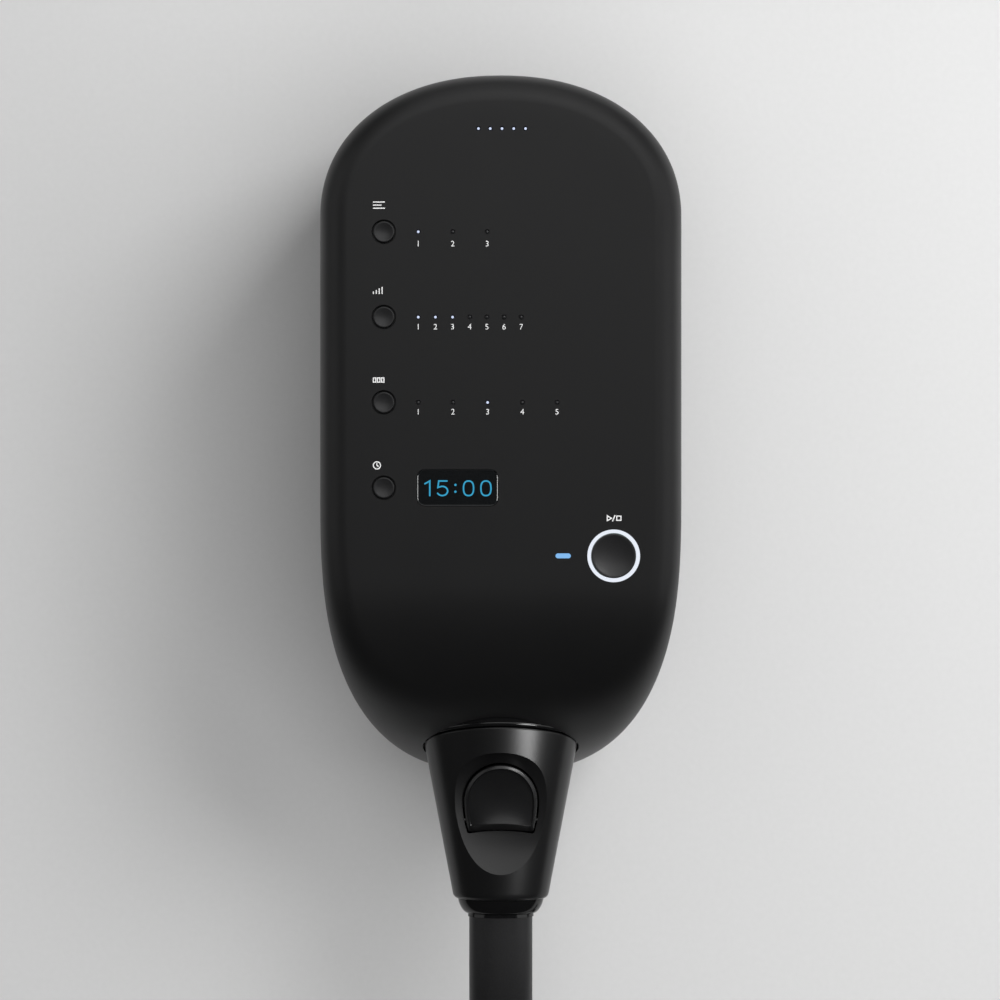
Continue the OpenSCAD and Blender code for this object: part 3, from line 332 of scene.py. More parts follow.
def rounded_block(name, centre, half_w, half_h, radius, levels):
    """A prism with round corners through (inset, z) levels."""
    x0, y0 = centre
    return loft(name, [[(x0 + x, y0 + y, z) for x, y in
                        stadium(half_w - inset, half_h - inset, max(radius - inset, 0.05))]
                       for inset, z in levels])


def arc(steps):
    """Angles from 0 to a right angle."""
    return [math.pi / 2 * k / steps for k in range(steps + 1)]


SCREW_PLACES = [(s * x, y) for x, y in [(39, 74), (40, -4.6), (38, -62)] for s in (1, -1)]
FOOT_PLACES = [(s * x, y) for x, y in [(28, 86), (27, -80)] for s in (1, -1)]
WELL_R, WELL_TOP = 3.4, 7
SEAT_R, SEAT_TOP, SEAT_BEVEL = 7.1, 3.8, 0.2
POCKET_Y, POCKET_Z = CASE_HALF_LEN - 5.6, 18
POCKET_HALF_W, POCKET_HALF_H, POCKET_DEPTH = 21, 6.5, 20
VENT_COUNT, VENT_PITCH, VENT_Y = 8, 4.5, -60
VENT_HALF_W, VENT_HALF_H, VENT_DEPTH = 18, 1, 4
BEVEL = 0.3
BELOW = FOOT_H - 1
EDGE_STEPS = 10

rear_outer = [flat_ring(GROOVE, PARTING_Z), flat_ring(0, PARTING_Z - GROOVE_H)] + [
    flat_ring(DRAFT + BACK_R * (1 - math.cos(f)), FOOT_H + BACK_R * (1 - math.sin(f)))
    for f in arc(EDGE_STEPS)]
rear_outer += closing_rings(rear_outer[-1], lambda y: FOOT_H)
rear_inner = [flat_ring(WALL, PARTING_Z)] + [
    flat_ring(DRAFT + WALL + (BACK_R - WALL) * (1 - math.cos(f)),
              FOOT_H + WALL + (BACK_R - WALL) * (1 - math.sin(f))) for f in arc(5)]
rear_inner += closing_rings(rear_inner[-1], lambda y: FOOT_H + WALL)
rear = shell("rear_shell_moulding", rear_outer, rear_inner)


def sunk_hole(name, radius, top, bevel, centre):
    """A round hole up into the back, with a bevelled mouth."""
    return lathe(name, [(0, BELOW), (radius + bevel, BELOW), (radius + bevel, FOOT_H),
                        (radius, FOOT_H + bevel), (radius, top), (0, top)], (*centre, 0))


vents = [rounded_block(f"vent_{k}", (0, VENT_Y + (k - (VENT_COUNT - 1) / 2) * VENT_PITCH),
                       VENT_HALF_W + BEVEL, VENT_HALF_H + BEVEL, VENT_HALF_H + BEVEL,
                       [(0, BELOW), (0, FOOT_H), (BEVEL, FOOT_H + BEVEL),
                        (BEVEL, FOOT_H + VENT_DEPTH)])
         for k in range(VENT_COUNT)]
wells = [sunk_hole(f"well_{k}", WELL_R, WELL_TOP, BEVEL, place)
         for k, place in enumerate(SCREW_PLACES)]
sockets = [sunk_hole(f"socket_{k}", SEAT_R, SEAT_TOP, SEAT_BEVEL, place)
           for k, place in enumerate(FOOT_PLACES)]
pocket = rounded_block("pocket", (0, 0), POCKET_HALF_W, POCKET_HALF_H, POCKET_HALF_H - 0.01,
                       [(0, 0), (0, POCKET_DEPTH)])
for v in pocket.data.vertices:
    v.co = Vector((v.co.x, POCKET_Y * MM + v.co.z, POCKET_Z * MM - v.co.y))
carve(rear, [joined("vents", vents), joined("wells", wells), joined("sockets", sockets), pocket])
casing_plastic = grained("casing_plastic", (0.003, 0.003, 0.0032), 0.44, grain_size=0.45,
                         bump=0.06)
dress(rear, casing_plastic, "pump", ("rear_shell",))


# ---- Front shell ----
# The upper half of the casing: a flat face that curves down over a chin at the hose end.
# Moulded in soft-touch matt black plastic, drilled for the buttons, lights, display and port.

EDGE_R = 9
CHIN_EDGE_R = 32
EDGE_GROWTH = 3
CHIN_START = 48
CHIN_R = 76
KEY_X, KEY_TOP_Y, KEY_PITCH = -36, 61, 26.25
KEY_R, KEY_GAP = 3.2, 0.5
START_X, START_Y = 34.75, -38.7
RING_R, RING_W = 8.07, 1.04
LIGHT_R = 0.65
LIGHT_ROWS = {
    "program_lights": (-25.4, KEY_TOP_Y, 10.6, 3),
    "pressure_lights": (-25.4, KEY_TOP_Y - KEY_PITCH, 5.28, 7),
    "zone_lights": (-25.4, KEY_TOP_Y - 2 * KEY_PITCH, 10.67, 5),
    "battery_lights": (0.36 - 2 * 3.62, 92.75, 3.62, 5)}
DISPLAY_X, DISPLAY_Y = -13.3, KEY_TOP_Y - 3 * KEY_PITCH
DISPLAY_W, DISPLAY_H, DISPLAY_R = 25, 11.2, 2.5
DASH_X, DASH_Y = 19.2, START_Y
DASH_W, DASH_H = 4.64, 1.45
PORT_Z = 68
PORT_W, PORT_H = 49.1, 32.9
PORT_BACK = -76


def face_height(y, depth):
    """Height of the face, or of a skin at a depth below it, along the casing."""
    if y > -CHIN_START:
        return FACE_Z - depth
    return FACE_Z - CHIN_R + math.sqrt((CHIN_R - depth) ** 2 - (CHIN_START + y) ** 2)


def edge_ring(f, depth):
    """A ring round the rounded edge, at an angle up it."""
    ring = []
    for s in stations:
        growth = 0 if s[1] else abs(math.sin(s[0])) ** EDGE_GROWTH
        r = EDGE_R + (CHIN_EDGE_R - EDGE_R) * growth - depth
        x, y = outline_point(s, depth + r * (1 - math.cos(f)))
        ring.append((x, y, face_height(y, depth) - r * (1 - math.sin(f))))
    return ring


def turned_oval(name, half_w, half_h, y0, y1, count=128):
    """An oval bar along the casing, level with the middle of the port."""
    return loft(name, [[(x, y, PORT_Z + z) for x, z in oval(half_w, half_h, 2, count)]
                       for y in (y0, y1)])


front_outer = [flat_ring(GROOVE, PARTING_Z), flat_ring(0, PARTING_Z + GROOVE_H)]
front_outer += [edge_ring(f, 0) for f in arc(24)]
front_outer += closing_rings(front_outer[-1], lambda y: face_height(y, 0))
front_inner = [flat_ring(WALL, PARTING_Z)] + [edge_ring(f, WALL) for f in arc(6)]
front_inner += closing_rings(front_inner[-1], lambda y: face_height(y, WALL))
front = shell("front_shell_moulding", front_outer, front_inner)
hole_floor = FACE_Z - WALL - 2
BREAK = 0.12


def drill(name, radius, centre, count=48):
    """A round hole down into the face, with its edge broken."""
    return lathe(name, [(0, hole_floor), (radius, hole_floor), (radius, FACE_Z - BREAK),
                        (radius + BREAK, FACE_Z), (radius + BREAK, FACE_Z + 1), (0, FACE_Z + 1)],
                 (*centre, 0), count)


LIGHT_PLAY, RING_PLAY, WINDOW_PLAY = 0.03, 0.05, 0.15
holes = [drill(f"{row}_{k}", LIGHT_R + LIGHT_PLAY, (x + k * pitch, y), 32)
         for row, (x, y, pitch, count) in LIGHT_ROWS.items() for k in range(count)]
holes += [drill(f"key_{k}", KEY_R + KEY_GAP, (KEY_X, KEY_TOP_Y - k * KEY_PITCH))
          for k in range(4)]
holes.append(drill("start", RING_R + RING_PLAY, (START_X, START_Y), 96))
slot_levels = [(0.1, hole_floor), (0.1, FACE_Z - BREAK), (0.1 - BREAK, FACE_Z),
               (0.1 - BREAK, FACE_Z + 1)]
holes.append(rounded_block("display", (DISPLAY_X, DISPLAY_Y), DISPLAY_W / 2 + WINDOW_PLAY,
                           DISPLAY_H / 2 + WINDOW_PLAY, DISPLAY_R + WINDOW_PLAY, slot_levels))
holes.append(rounded_block("dash", (DASH_X, DASH_Y), DASH_W / 2 + WINDOW_PLAY,
                           DASH_H / 2 + WINDOW_PLAY, DASH_H / 2 + WINDOW_PLAY - 0.01, slot_levels))
port_hole = turned_oval("port_hole", PORT_W / 2 + WINDOW_PLAY, PORT_H / 2 + WINDOW_PLAY, -120,
                        PORT_BACK - 2)
carve(front, [joined("holes", holes), port_hole])
dress(front, casing_plastic, "pump", ("front_shell",))


# ---- Feet, casing screws and power controls ----
# Four rubber feet set in shallow seats, six steel screws sunk in wells, and in the top end a
# sprung power button of black plastic beside the round socket of the charger.

foot_rubber = grained("foot_rubber", (0.016, 0.016, 0.016), 0.7, grain_size=0.6, bump=0.12)
screw_steel = grained("screw_steel", (0.45, 0.45, 0.46), 0.32, grain=0.1, bump=0.02, metallic=1)
button_plastic = grained("button_plastic", (0.009, 0.009, 0.0095), 0.36, grain_size=0.35,
                         bump=0.04)
gloss_black = grained("gloss_black", (0.003, 0.003, 0.0032), 0.12, grain=0.15, grain_size=2,
                      bump=0.01, wear=0.04)


def recoat(names, material):
    """Gives CAD nodes that show as they are their material."""
    for name in names:
        nodes[name].data.materials.clear()
        nodes[name].data.materials.append(material)
        soften(nodes[name], 35)


recoat(["rear_feet"], foot_rubber)
recoat(["casing_screws"], screw_steel)
recoat(["power_button"], button_plastic)
recoat(["charge_jack"], gloss_black)


# ---- Port ----
# A socket block of glossy black plastic that rests on a saddle of the inner frame behind the
# chin, with a soft rubber gasket round it. A glossy bead stands out round its mouth.

seal_rubber = grained("seal_rubber", (0.015, 0.015, 0.015), 0.55, grain_size=0.6, bump=0.08)
recoat(["port_block"], gloss_black)
recoat(["port_gasket"], seal_rubber)

RIM_Y, RIM_SLOPE = -98.8, 0.3875
PORT_GAP = 0.5
LIP_T, LIP_RISE, LIP_ROOT = 1.3, 0.45, 0.4
LIP_STEPS = 12


def lip_ring(along, rise):
    """A ring round the mouth, in the plane that leans with the connector's rim."""
    return [(x, RIM_Y + PORT_GAP + along + RIM_SLOPE * z, PORT_Z + z)
            for x, z in oval(PORT_W / 2 + rise, PORT_H / 2 + rise, 2, 160)]


lip_rings = [lip_ring(LIP_T / 2 * (1 - math.cos(f)), LIP_RISE * math.sin(f))
             for f in [math.pi * k / LIP_STEPS for k in range(LIP_STEPS + 1)]]
lip_rings += [lip_ring(LIP_T, -LIP_ROOT), lip_ring(0, -LIP_ROOT), lip_rings[0]]
port_lip = piece("port_lip", [p for ring in lip_rings for p in ring],
                 bands(len(lip_rings[0]), len(lip_rings)))
dress(port_lip, gloss_black, "pump")


# ---- Connector shells ----
# Two halves of satin black plastic, screwed together round the nozzles. The mouth leans with
# the port, and the thumb scoop is moulded into the top round the opening for the latch.

RIM_A, RIM_B = 24.1, 16
TAIL_A, TAIL_B = 15.15, 11
BODY_LEN = 47
PLUG_WALL = 2.2
CHAMFER = 1.5
SCOOP_Y = RIM_Y - 23.7
SCOOP = (34, 22.8, 9)
SCOOP_DEPTH = 4.5
RIM_ROUND = 0.5
ACROSS, ALONG = 120, 60
PAD_Y, PAD_LEN, PAD_W = RIM_Y - 5.5, 21.3, 22.9
PAD_MID = PAD_Y - PAD_W / 2
PAD_TAPER, PAD_HOLLOW, PAD_CORNER = 20.6, 0.9, 0.8
PAD_GAP = 0.6


def half_width(t):
    """Half the connector's width at a distance from the middle of its rim."""
    return TAIL_A + (RIM_A - TAIL_A) * (1 - t / BODY_LEN)


def half_height(t):
    """Half its height there."""
    return TAIL_B + (RIM_B - TAIL_B) * (1 - t / BODY_LEN)


def body_top(y):
    """Height of the connector's top along its middle line."""
    return PORT_Z + half_height(RIM_Y - y)


def scoop_height(x, y, grow):
    """Height of the scoop's bowl at a point, or None outside it."""
    sx, sy, sz = (s + grow for s in SCOOP)
    inside = 1 - (x / sx) ** 2 - ((y - SCOOP_Y) / sy) ** 2
    if inside <= 0:
        return None
    return body_top(SCOOP_Y) + SCOOP[2] - SCOOP_DEPTH - sz * math.sqrt(inside)


def connector_point(t, angle, inset):
    """A point of the connector's skin, or of one that lies an inset below it."""
    return ((half_width(t) - inset) * math.cos(angle), RIM_Y - t,
            PORT_Z + (half_height(t) - inset) * math.sin(angle))


def rim_start(angle):
    """Where the leaning rim cuts the body at an angle round it."""
    s = math.sin(angle)
    return -RIM_SLOPE * RIM_B * s / (1 - RIM_SLOPE * (RIM_B - TAIL_B) / BODY_LEN * s)


def half_connector(name, sign):
    """One half of the connector: round the rim, along the outside, and back inside."""
    angles = [sign * math.pi * k / ACROSS for k in range(ACROSS + 1)]
    rings = [[connector_point(rim_start(a) + RIM_ROUND * (1 - math.cos(f)), a,
                              RIM_ROUND * (1 - math.sin(f))) for a in angles] for f in arc(4)]
    for k in range(1, ALONG + 1):
        ring = []
        for a in angles:
            start = rim_start(a) + RIM_ROUND
            ring.append(connector_point(start + (BODY_LEN - start) * k / ALONG, a, 0))
        rings.append(ring)
    rings += [[connector_point(BODY_LEN + CHAMFER * math.sin(f), a, CHAMFER * (1 - math.cos(f)))
               for a in angles] for f in arc(4)[1:]]
    for k in range(ALONG // 2, -1, -1):
        ring = []
        for a in angles:
            start = rim_start(a)
            t = start + (BODY_LEN - PLUG_WALL - start) * k / (ALONG // 2)
            x, y, z = connector_point(t, a, PLUG_WALL)
            bowl = scoop_height(x, y, PLUG_WALL) if z > PORT_Z + 2 else None
            ring.append((x, y, z if bowl is None else min(z, bowl)))
        rings.append(ring)
    count = len(angles)
    last = count * (len(rings) - 1)
    faces = bands(count, len(rings), closed=False)
    faces += [(i, i + 1, last + i + 1, last + i) for i in range(count - 1)]
    made = piece(name, [p for ring in rings for p in ring], faces)
    fill_open_edges(made)
    return made


def fill_open_edges(made):
    """Closes the two long flat edges where the halves meet."""
    work = bmesh.new()
    work.from_mesh(made.data)
    bmesh.ops.holes_fill(work, edges=[e for e in work.edges if e.is_boundary])
    bmesh.ops.recalc_face_normals(work, faces=work.faces)
    work.to_mesh(made.data)
    work.free()
    soften(made, 35)


def pad_outline(inset, low_inset, steps=40):
    """Outline of the thumb pad, and how much each point belongs to its hose side, 0 to 1."""
    r = PAD_W / 2 - inset
    low = PAD_LEN - PAD_W / 2 - low_inset
    side = [(r * math.sqrt(1 - (d / PAD_TAPER) ** 2), PAD_MID - d)
            for d in [(low - PAD_CORNER) * k / 12 for k in range(1, 13)]]
    corner_x = r * math.sqrt(1 - (low / PAD_TAPER) ** 2)
    hollow = [(x, PAD_MID - low + PAD_HOLLOW * (1 - (x / corner_x) ** 2))
              for x in [(corner_x - PAD_CORNER) * (1 - k / 12) for k in range(13)]]
    (x0, y0), (x2, y2) = side[-1], hollow[0]
    corner = [((1 - t) ** 2 * x0 + 2 * t * (1 - t) * corner_x + t * t * x2,
               (1 - t) ** 2 * y0 + 2 * t * (1 - t) * (PAD_MID - low) + t * t * y2)
              for t in [k / 8 for k in range(1, 8)]]
    top = [(r * math.cos(a), PAD_MID + r * math.sin(a), 0.0)
           for a in [math.pi * k / steps for k in range(steps + 1)]]
    right = ([(x, y, 0.0) for x, y in side] + [(x, y, k / 8) for k, (x, y) in enumerate(corner, 1)]
             + [(x, y, 1.0) for x, y in hollow])
    left = [(-x, y, w) for x, y, w in right]
    return top + left + right[-2::-1]


connector_plastic = grained("connector_plastic", (0.0035, 0.0035, 0.0037), 0.3, grain_size=0.4,
                            bump=0.04)
upper = half_connector("connector_top_half", 1)
pad_hole = loft("pad_hole", [[(x, y, z) for x, y, _ in pad_outline(-PAD_GAP, -PAD_GAP)]
                             for z in (PORT_Z + 2, FACE_Z - 4)])
BALL_R, BALL_STEPS = 100, 60
scoop = lathe("scoop", [(BALL_R * math.cos(a), BALL_R * math.sin(a)) for a in
                        [math.pi * (k / BALL_STEPS - 0.5) for k in range(BALL_STEPS + 1)]],
              (0, 0, 0), 160)
for v in scoop.data.vertices:
    x, y, z = v.co / (BALL_R * MM)
    v.co = Vector((SCOOP[0] * x, SCOOP_Y + SCOOP[1] * y,
                   body_top(SCOOP_Y) + SCOOP[2] - SCOOP_DEPTH + SCOOP[2] * z)) * MM
carve(upper, [scoop, pad_hole], 11)
dress(upper, connector_plastic, "hose", ("connector_upper_shell",))
lower = half_connector("connector_bottom_half", -1)
dress(lower, connector_plastic, "hose", ("connector_lower_shell",))


# ---- Release latch ----
# The thumb pad: moulded in satin black plastic with a raised rim round a dished middle. It
# rocks on a pin in the connector, and a coil spring under it lifts it.

PAD_RIM, PAD_LOW_BAND = 1.25, 1.9
PAD_DISH = 1.9
PAD_BOTTOM_Z = 75.8
DISH_RINGS, DISH_EDGE = 24, 0.5
# Share of the way out across the rim, and the drop there
RIM_PROFILE = [(0, 0.34), (0.04, 0.16), (0.1, 0.04), (0.17, 0), (0.26, 0.03), (0.4, 0.11),
               (0.55, 0.2), (0.7, 0.3), (0.82, 0.39), (0.91, 0.5), (0.97, 0.68), (1, 0.95)]


def pad_top(x, y):
    """Height of the connector's skin, which the pad's rim follows."""
    t = RIM_Y - y
    return PORT_Z + half_height(t) * math.sqrt(1 - (x / half_width(t)) ** 2)


def dish(x, y):
    """Height of the hollow that the thumb rests in."""
    high = PAD_Y - PAD_RIM + DISH_EDGE
    low = PAD_Y - PAD_LEN + PAD_LOW_BAND - DISH_EDGE
    u = x / (PAD_W / 2 - PAD_RIM + DISH_EDGE)
    v = (y - (high + low) / 2) / ((high - low) / 2)
    return pad_top(x, y) - 0.4 - PAD_DISH * (1 - u * u) * (1 - v * v)


def latch_pad():
    """Rings from the middle of the dish over the rim and down the side."""
    edge = pad_outline(PAD_RIM, PAD_LOW_BAND)
    middle_y = PAD_MID - 1
    rings = []
    for k in range(1, DISH_RINGS + 1):
        s = k / (DISH_RINGS + 0.4)
        ring = [(x * s, middle_y + (y - middle_y) * s) for x, y, _ in edge]
        rings.append([(x, y, dish(x, y)) for x, y in ring])
    for u, drop in RIM_PROFILE:
        rings.append([(x, y, pad_top(x, y) - drop * (1 - w) - (0.15 + 1.5 * u) * w)
                      for x, y, w in pad_outline(PAD_RIM * (1 - u), PAD_LOW_BAND * (1 - u))])
    rings.append([(x, y, PAD_BOTTOM_Z) for x, y, _ in pad_outline(0, 0)])
    return loft("latch_pad", rings)


pad = latch_pad()
pad_plastic = grained("pad_plastic", (0.005, 0.005, 0.0053), 0.3, grain_size=0.4, bump=0.04)
dress(pad, pad_plastic, "latch", ("release_latch",))


# ---- Hose collar ----
# A ring moulded in glossy black plastic. It closes the connector's hose end and grips the end
# of the hose.

COLLAR_Y = RIM_Y - BODY_LEN - CHAMFER
COLLAR_LEN = 5.7
collar_start = (TAIL_A - CHAMFER - 0.1, TAIL_B - CHAMFER - 0.1)
collar_end = (HOSE_W / 2 + 0.4, HOSE_T / 2 + 0.4)
collar_rings = []
for f in arc(10):
    mix = (1 - math.cos(f)) ** 0.75
    y = COLLAR_Y - (COLLAR_LEN - 1) * math.sin(f)
    half = [a + (b - a) * mix for a, b in zip(collar_start, collar_end)]
    collar_rings.append([(x, y, PORT_Z + z) for x, z in oval(*half, 2, 96)])
collar_rings.append([(x, COLLAR_Y - COLLAR_LEN, PORT_Z + z)
                     for x, z in oval(*collar_end, 2.1, 96)])
collar = loft("hose_collar", collar_rings, 50)
dress(collar, gloss_black, "hose", ("connector_collar",))


# ---- Buttons ----
# Round caps of satin black plastic with a dished top and a fine rim. A flange under the face
# stops each of them, and its stem stands over a key switch that springs it back.

SKIN_Z = FACE_Z - WALL
BOARD_TOP = SKIN_Z - 7
KEY_DISH, KEY_RIM = 0.45, 0.22
KEY_FLANGE_R = KEY_R + KEY_GAP + 1
FLANGE_TOP, FLANGE_BOTTOM = SKIN_Z - 0.1, SKIN_Z - 1.1
STEM_R, KEY_STEM_Z = 1.5, BOARD_TOP + 4
START_DISH, START_BOTTOM, START_STEM_Z = 0.9, BOARD_TOP + 5.2, BOARD_TOP + 4.3


def key_cap(name, centre):
    """A small button: its dish, rim, wall, flange and stem."""
    inner = KEY_R - KEY_RIM - 0.18
    profile = [(0, FACE_Z - KEY_DISH)]
    for k in range(1, 13):
        q = k / 12
        profile.append((inner * q, FACE_Z - KEY_DISH * (1 - q * q)))
    profile += [(KEY_R - KEY_RIM, FACE_Z), (KEY_R - 0.1, FACE_Z - 0.03), (KEY_R, FACE_Z - 0.14),
                (KEY_R, FLANGE_TOP), (KEY_FLANGE_R, FLANGE_TOP), (KEY_FLANGE_R, FLANGE_BOTTOM),
                (STEM_R, FLANGE_BOTTOM), (STEM_R, KEY_STEM_Z), (0, KEY_STEM_Z)]
    return lathe(name, profile, (*centre, 0), 72)


for k, name in enumerate(["program_button", "pressure_button", "zone_button", "time_button"]):
    cap = key_cap(f"{name}_cap", (KEY_X, KEY_TOP_Y - k * KEY_PITCH))
    dress(cap, button_plastic, name, (name,))

start_r = RING_R - RING_W - 0.15
start_profile = [(start_r * k / 16 * 0.93, FACE_Z - START_DISH * (1 - (k / 16) ** 2))
                 for k in range(17)]
start_profile += [(start_r - 0.25, FACE_Z - 0.01), (start_r - 0.1, FACE_Z - 0.04),
                  (start_r, FACE_Z - 0.2), (start_r, START_BOTTOM), (STEM_R, START_BOTTOM),
                  (STEM_R, START_STEM_Z), (0, START_STEM_Z)]
start_cap = lathe("start_button_cap", start_profile, (START_X, START_Y, 0), 96)
dress(start_cap, button_plastic, "start_button", ("start_button",))


# ---- Lights ----
# Rows of clear plastic light guides on a bar that lies on the board, each ending flush in the
# face. Those that are on glow pale blue at the tip, and those that are off are dark and glossy.


def glowing(name, colour, strength, spread=0.15):
    """Lit plastic: it glows a little unevenly, and hardly takes other light."""
    made = bpy.data.materials.new(name)
    made.use_nodes = True
    tree = made.node_tree
    shader = tree.nodes["Principled BSDF"]
    shader.inputs["Base Color"].default_value = (*[c * 0.1 for c in colour], 1)
    shader.inputs["Roughness"].default_value = 0.3
    shader.inputs["Emission Strength"].default_value = strength
    place = tree.nodes.new("ShaderNodeTexCoord")
    cloud = tree.nodes.new("ShaderNodeTexNoise")
    cloud.inputs["Scale"].default_value = 700
    tint = tree.nodes.new("ShaderNodeValToRGB")
    tint.color_ramp.elements[0].color = (*[c * (1 - spread) for c in colour], 1)
    tint.color_ramp.elements[1].color = (*colour, 1)
    tree.links.new(place.outputs["Object"], cloud.inputs["Vector"])
    tree.links.new(cloud.outputs["Fac"], tint.inputs["Fac"])
    tree.links.new(tint.outputs["Color"], shader.inputs["Emission Color"])
    return made


LAMP_CORE = 0.4
lamp_on = glowing("lamp_on", (0.62, 0.70, 0.92), 1.0)
lamp_off = grained("lamp_off", (0.012, 0.012, 0.013), 0.12, grain_size=0.5, bump=0.01)
ring_glow = glowing("ring_glow", (0.74, 0.78, 0.86), 1.0, spread=0.06)
dash_glow = glowing("dash_glow", (0.2, 0.44, 0.78), 1.0, spread=0.06)
LIT = {"program_lights": {0}, "pressure_lights": {0, 1, 2}, "zone_lights": {2},
       "battery_lights": {0, 1, 2, 3, 4}}


def bar_block(x0, x1, y0, y1, z0, z1):
    """Points and faces of the bar that joins the guides of a row."""
    points = [(x, y, z) for z in (z0, z1) for x, y in [(x0, y0), (x1, y0), (x1, y1), (x0, y1)]]
    return points, bands(4, 2) + [(0, 1, 2, 3), (4, 5, 6, 7)]


GUIDE_FOOT, BAR_TOP, BAR_MARGIN = BOARD_TOP + 2, BOARD_TOP + 2.5, 1.2
TIP_Z = FACE_Z - 0.12
guide_profile = [(0, GUIDE_FOOT), (LIGHT_R, GUIDE_FOOT), (LIGHT_R, FACE_Z - 0.3),
                 (LIGHT_R - 0.06, FACE_Z - 0.25), (LAMP_CORE, TIP_Z), (0.3, FACE_Z - 0.04),
                 (0.18, FACE_Z), (0.08, FACE_Z + 0.015), (0, FACE_Z + 0.02)]
lamp_rows = []
for row, (x, y, pitch, count) in LIGHT_ROWS.items():
    guides = [lathe(f"guide_{k}", guide_profile, (x + k * pitch, y, 0), 32) for k in range(count)]
    bar = piece("bar", *bar_block(x - BAR_MARGIN, x + (count - 1) * pitch + BAR_MARGIN,
                                  y - BAR_MARGIN, y + BAR_MARGIN, BOARD_TOP, BAR_TOP))
    for k in LIT[row]:
        for face in guides[k].data.polygons:
            if face.center.z > TIP_Z * MM:
                face.material_index = 1
    whole = joined(f"{row}_guides", [bar] + guides)
    whole.data.materials.append(lamp_off)
    whole.data.materials.append(lamp_on)
    soften(whole, 35)
    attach(whole, "pump")
    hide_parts(row)
    lamp_rows.append(whole)

recoat(["start_light_ring"], ring_glow)
recoat(["link_light"], dash_glow)


# ---- Display ----
# A window of dark glossy plastic with a fine raised edge, set a little into the face. The
# digits of the display under it are rounded strokes that glow blue.

SCREEN_Z = FACE_Z - 0.2
DIGIT_H, DIGIT_W = 4.95, 3.55
DIGIT_STROKE = 0.46
DIGIT_DROP = 0.15
STRIP_T = 0.06
DOT_R, DOT_UP = 0.36, 1.05
DIGITS = [("1", -8.9), ("5", -4.6), (":", -0.66), ("0", 3.37), ("0", 8.72)]

glass = rounded_block("display_glass", (DISPLAY_X, DISPLAY_Y), DISPLAY_W / 2, DISPLAY_H / 2,
                      DISPLAY_R,
                      [(0, SKIN_Z - 1), (0, FACE_Z - 0.15), (0.05, FACE_Z - 0.04),
                       (0.15, FACE_Z + 0.02), (0.27, FACE_Z), (0.36, FACE_Z - 0.08),
                       (0.42, SCREEN_Z), (2, SCREEN_Z)])
display_black = grained("display_black", (0.004, 0.0045, 0.005), 0.1, grain=0.1, grain_size=3,
                        bump=0.005, wear=0.03)
dress(glass, display_black, "pump", ("display_window",))


def round_end(tip, way, side, width):
    """Points round the end of a strip, from one side of it to the other."""
    return [tip + side * math.cos(a) + way * width / 2 * math.sin(a)
            for a in [math.pi * k / 8 for k in range(1, 8)]]


def ribbon(name, line, width, top, closed=False):
    """A flat strip of even width along a line of (x, y) points, with its top at a height."""
    p = [Vector(q) for q in line]
    left, right = [], []
    for k, q in enumerate(p):
        ways = []
        if closed or k:
            ways.append((q - p[k - 1]).normalized())
        if closed or k < len(p) - 1:
            ways.append((p[(k + 1) % len(p)] - q).normalized())
        way = sum(ways, Vector((0, 0))).normalized()
        out = Vector((way.y, -way.x)) * width / 2 / max(way.dot(ways[0]), 0.5)
        left.append(q - out)
        right.append(q + out)
    levels = (top - STRIP_T, top)
    if not closed:
        edge = (round_end(p[0], (p[0] - p[1]).normalized(), left[0] - p[0], width) + right
                + round_end(p[-1], (p[-1] - p[-2]).normalized(), right[-1] - p[-1], width)
                + left[::-1])
        return loft(name, [[(v.x, v.y, z) for v in edge] for z in levels])
    n = len(p)
    points = [(v.x, v.y, z) for z in levels for v in right + left]
    faces = []
    for i in range(n):
        j = (i + 1) % n
        a, b, c, d = i, j, n + j, n + i
        faces += [(a, d, c, b), (2 * n + a, 2 * n + b, 2 * n + c, 2 * n + d),
                  (a, b, 2 * n + b, 2 * n + a), (d, 2 * n + d, 2 * n + c, c)]
    return piece(name, points, faces)


def digit_lines(sign):
    """Strokes of a digit about its middle: (points, closed)."""
    w, h = DIGIT_W / 2 - DIGIT_STROKE / 2, DIGIT_H / 2 - DIGIT_STROKE / 2
    if sign == "0":
        return [([(w * signed_power(math.cos(a), 0.8), h * signed_power(math.sin(a), 0.8))
                  for a in [math.tau * k / 40 for k in range(40)]], True)]
    if sign == "1":
        return [([(-1.15, h - 0.85), (0.35, h), (0.35, 0), (0.35, -h)], False)]
    if sign == ":":
        return []
    bowl = [(-0.1 + (w + 0.1) * math.cos(a), -h + 1.42 + 1.42 * math.sin(a))
            for a in [math.radians(d) for d in range(110, -151, -13)]]
    return [([(w - 0.2, h), (-w + 0.35, h), (-w + 0.1, 0.25)] + bowl, False)]


digit_glow = glowing("digit_glow", (0.03, 0.36, 0.6), 1.0, spread=0.35)
digit_y, digit_top = DISPLAY_Y - DIGIT_DROP, SCREEN_Z + 0.02
digits = []
for n, (sign, x) in enumerate(DIGITS):
    for m, (line, closed) in enumerate(digit_lines(sign)):
        digits.append(ribbon(f"digit_{n}_{m}", [(DISPLAY_X + x + u, digit_y + v) for u, v in line],
                             DIGIT_STROKE, digit_top, closed))
    if sign == ":":
        digits += [lathe(f"dot_{m}", [(0, digit_top - STRIP_T), (DOT_R, digit_top - STRIP_T),
                                      (DOT_R, digit_top), (0, digit_top)],
                         (DISPLAY_X + x, digit_y + v, 0), 20)
                   for m, v in enumerate((-DOT_UP, DOT_UP))]
time_digits = joined("display_digits", digits)
dress(time_digits, digit_glow, "pump")


# ---- Print on the face ----
# White ink, printed a few hundredths of a millimetre thick: plain numerals under the lights,
# and a simple sign over each button.

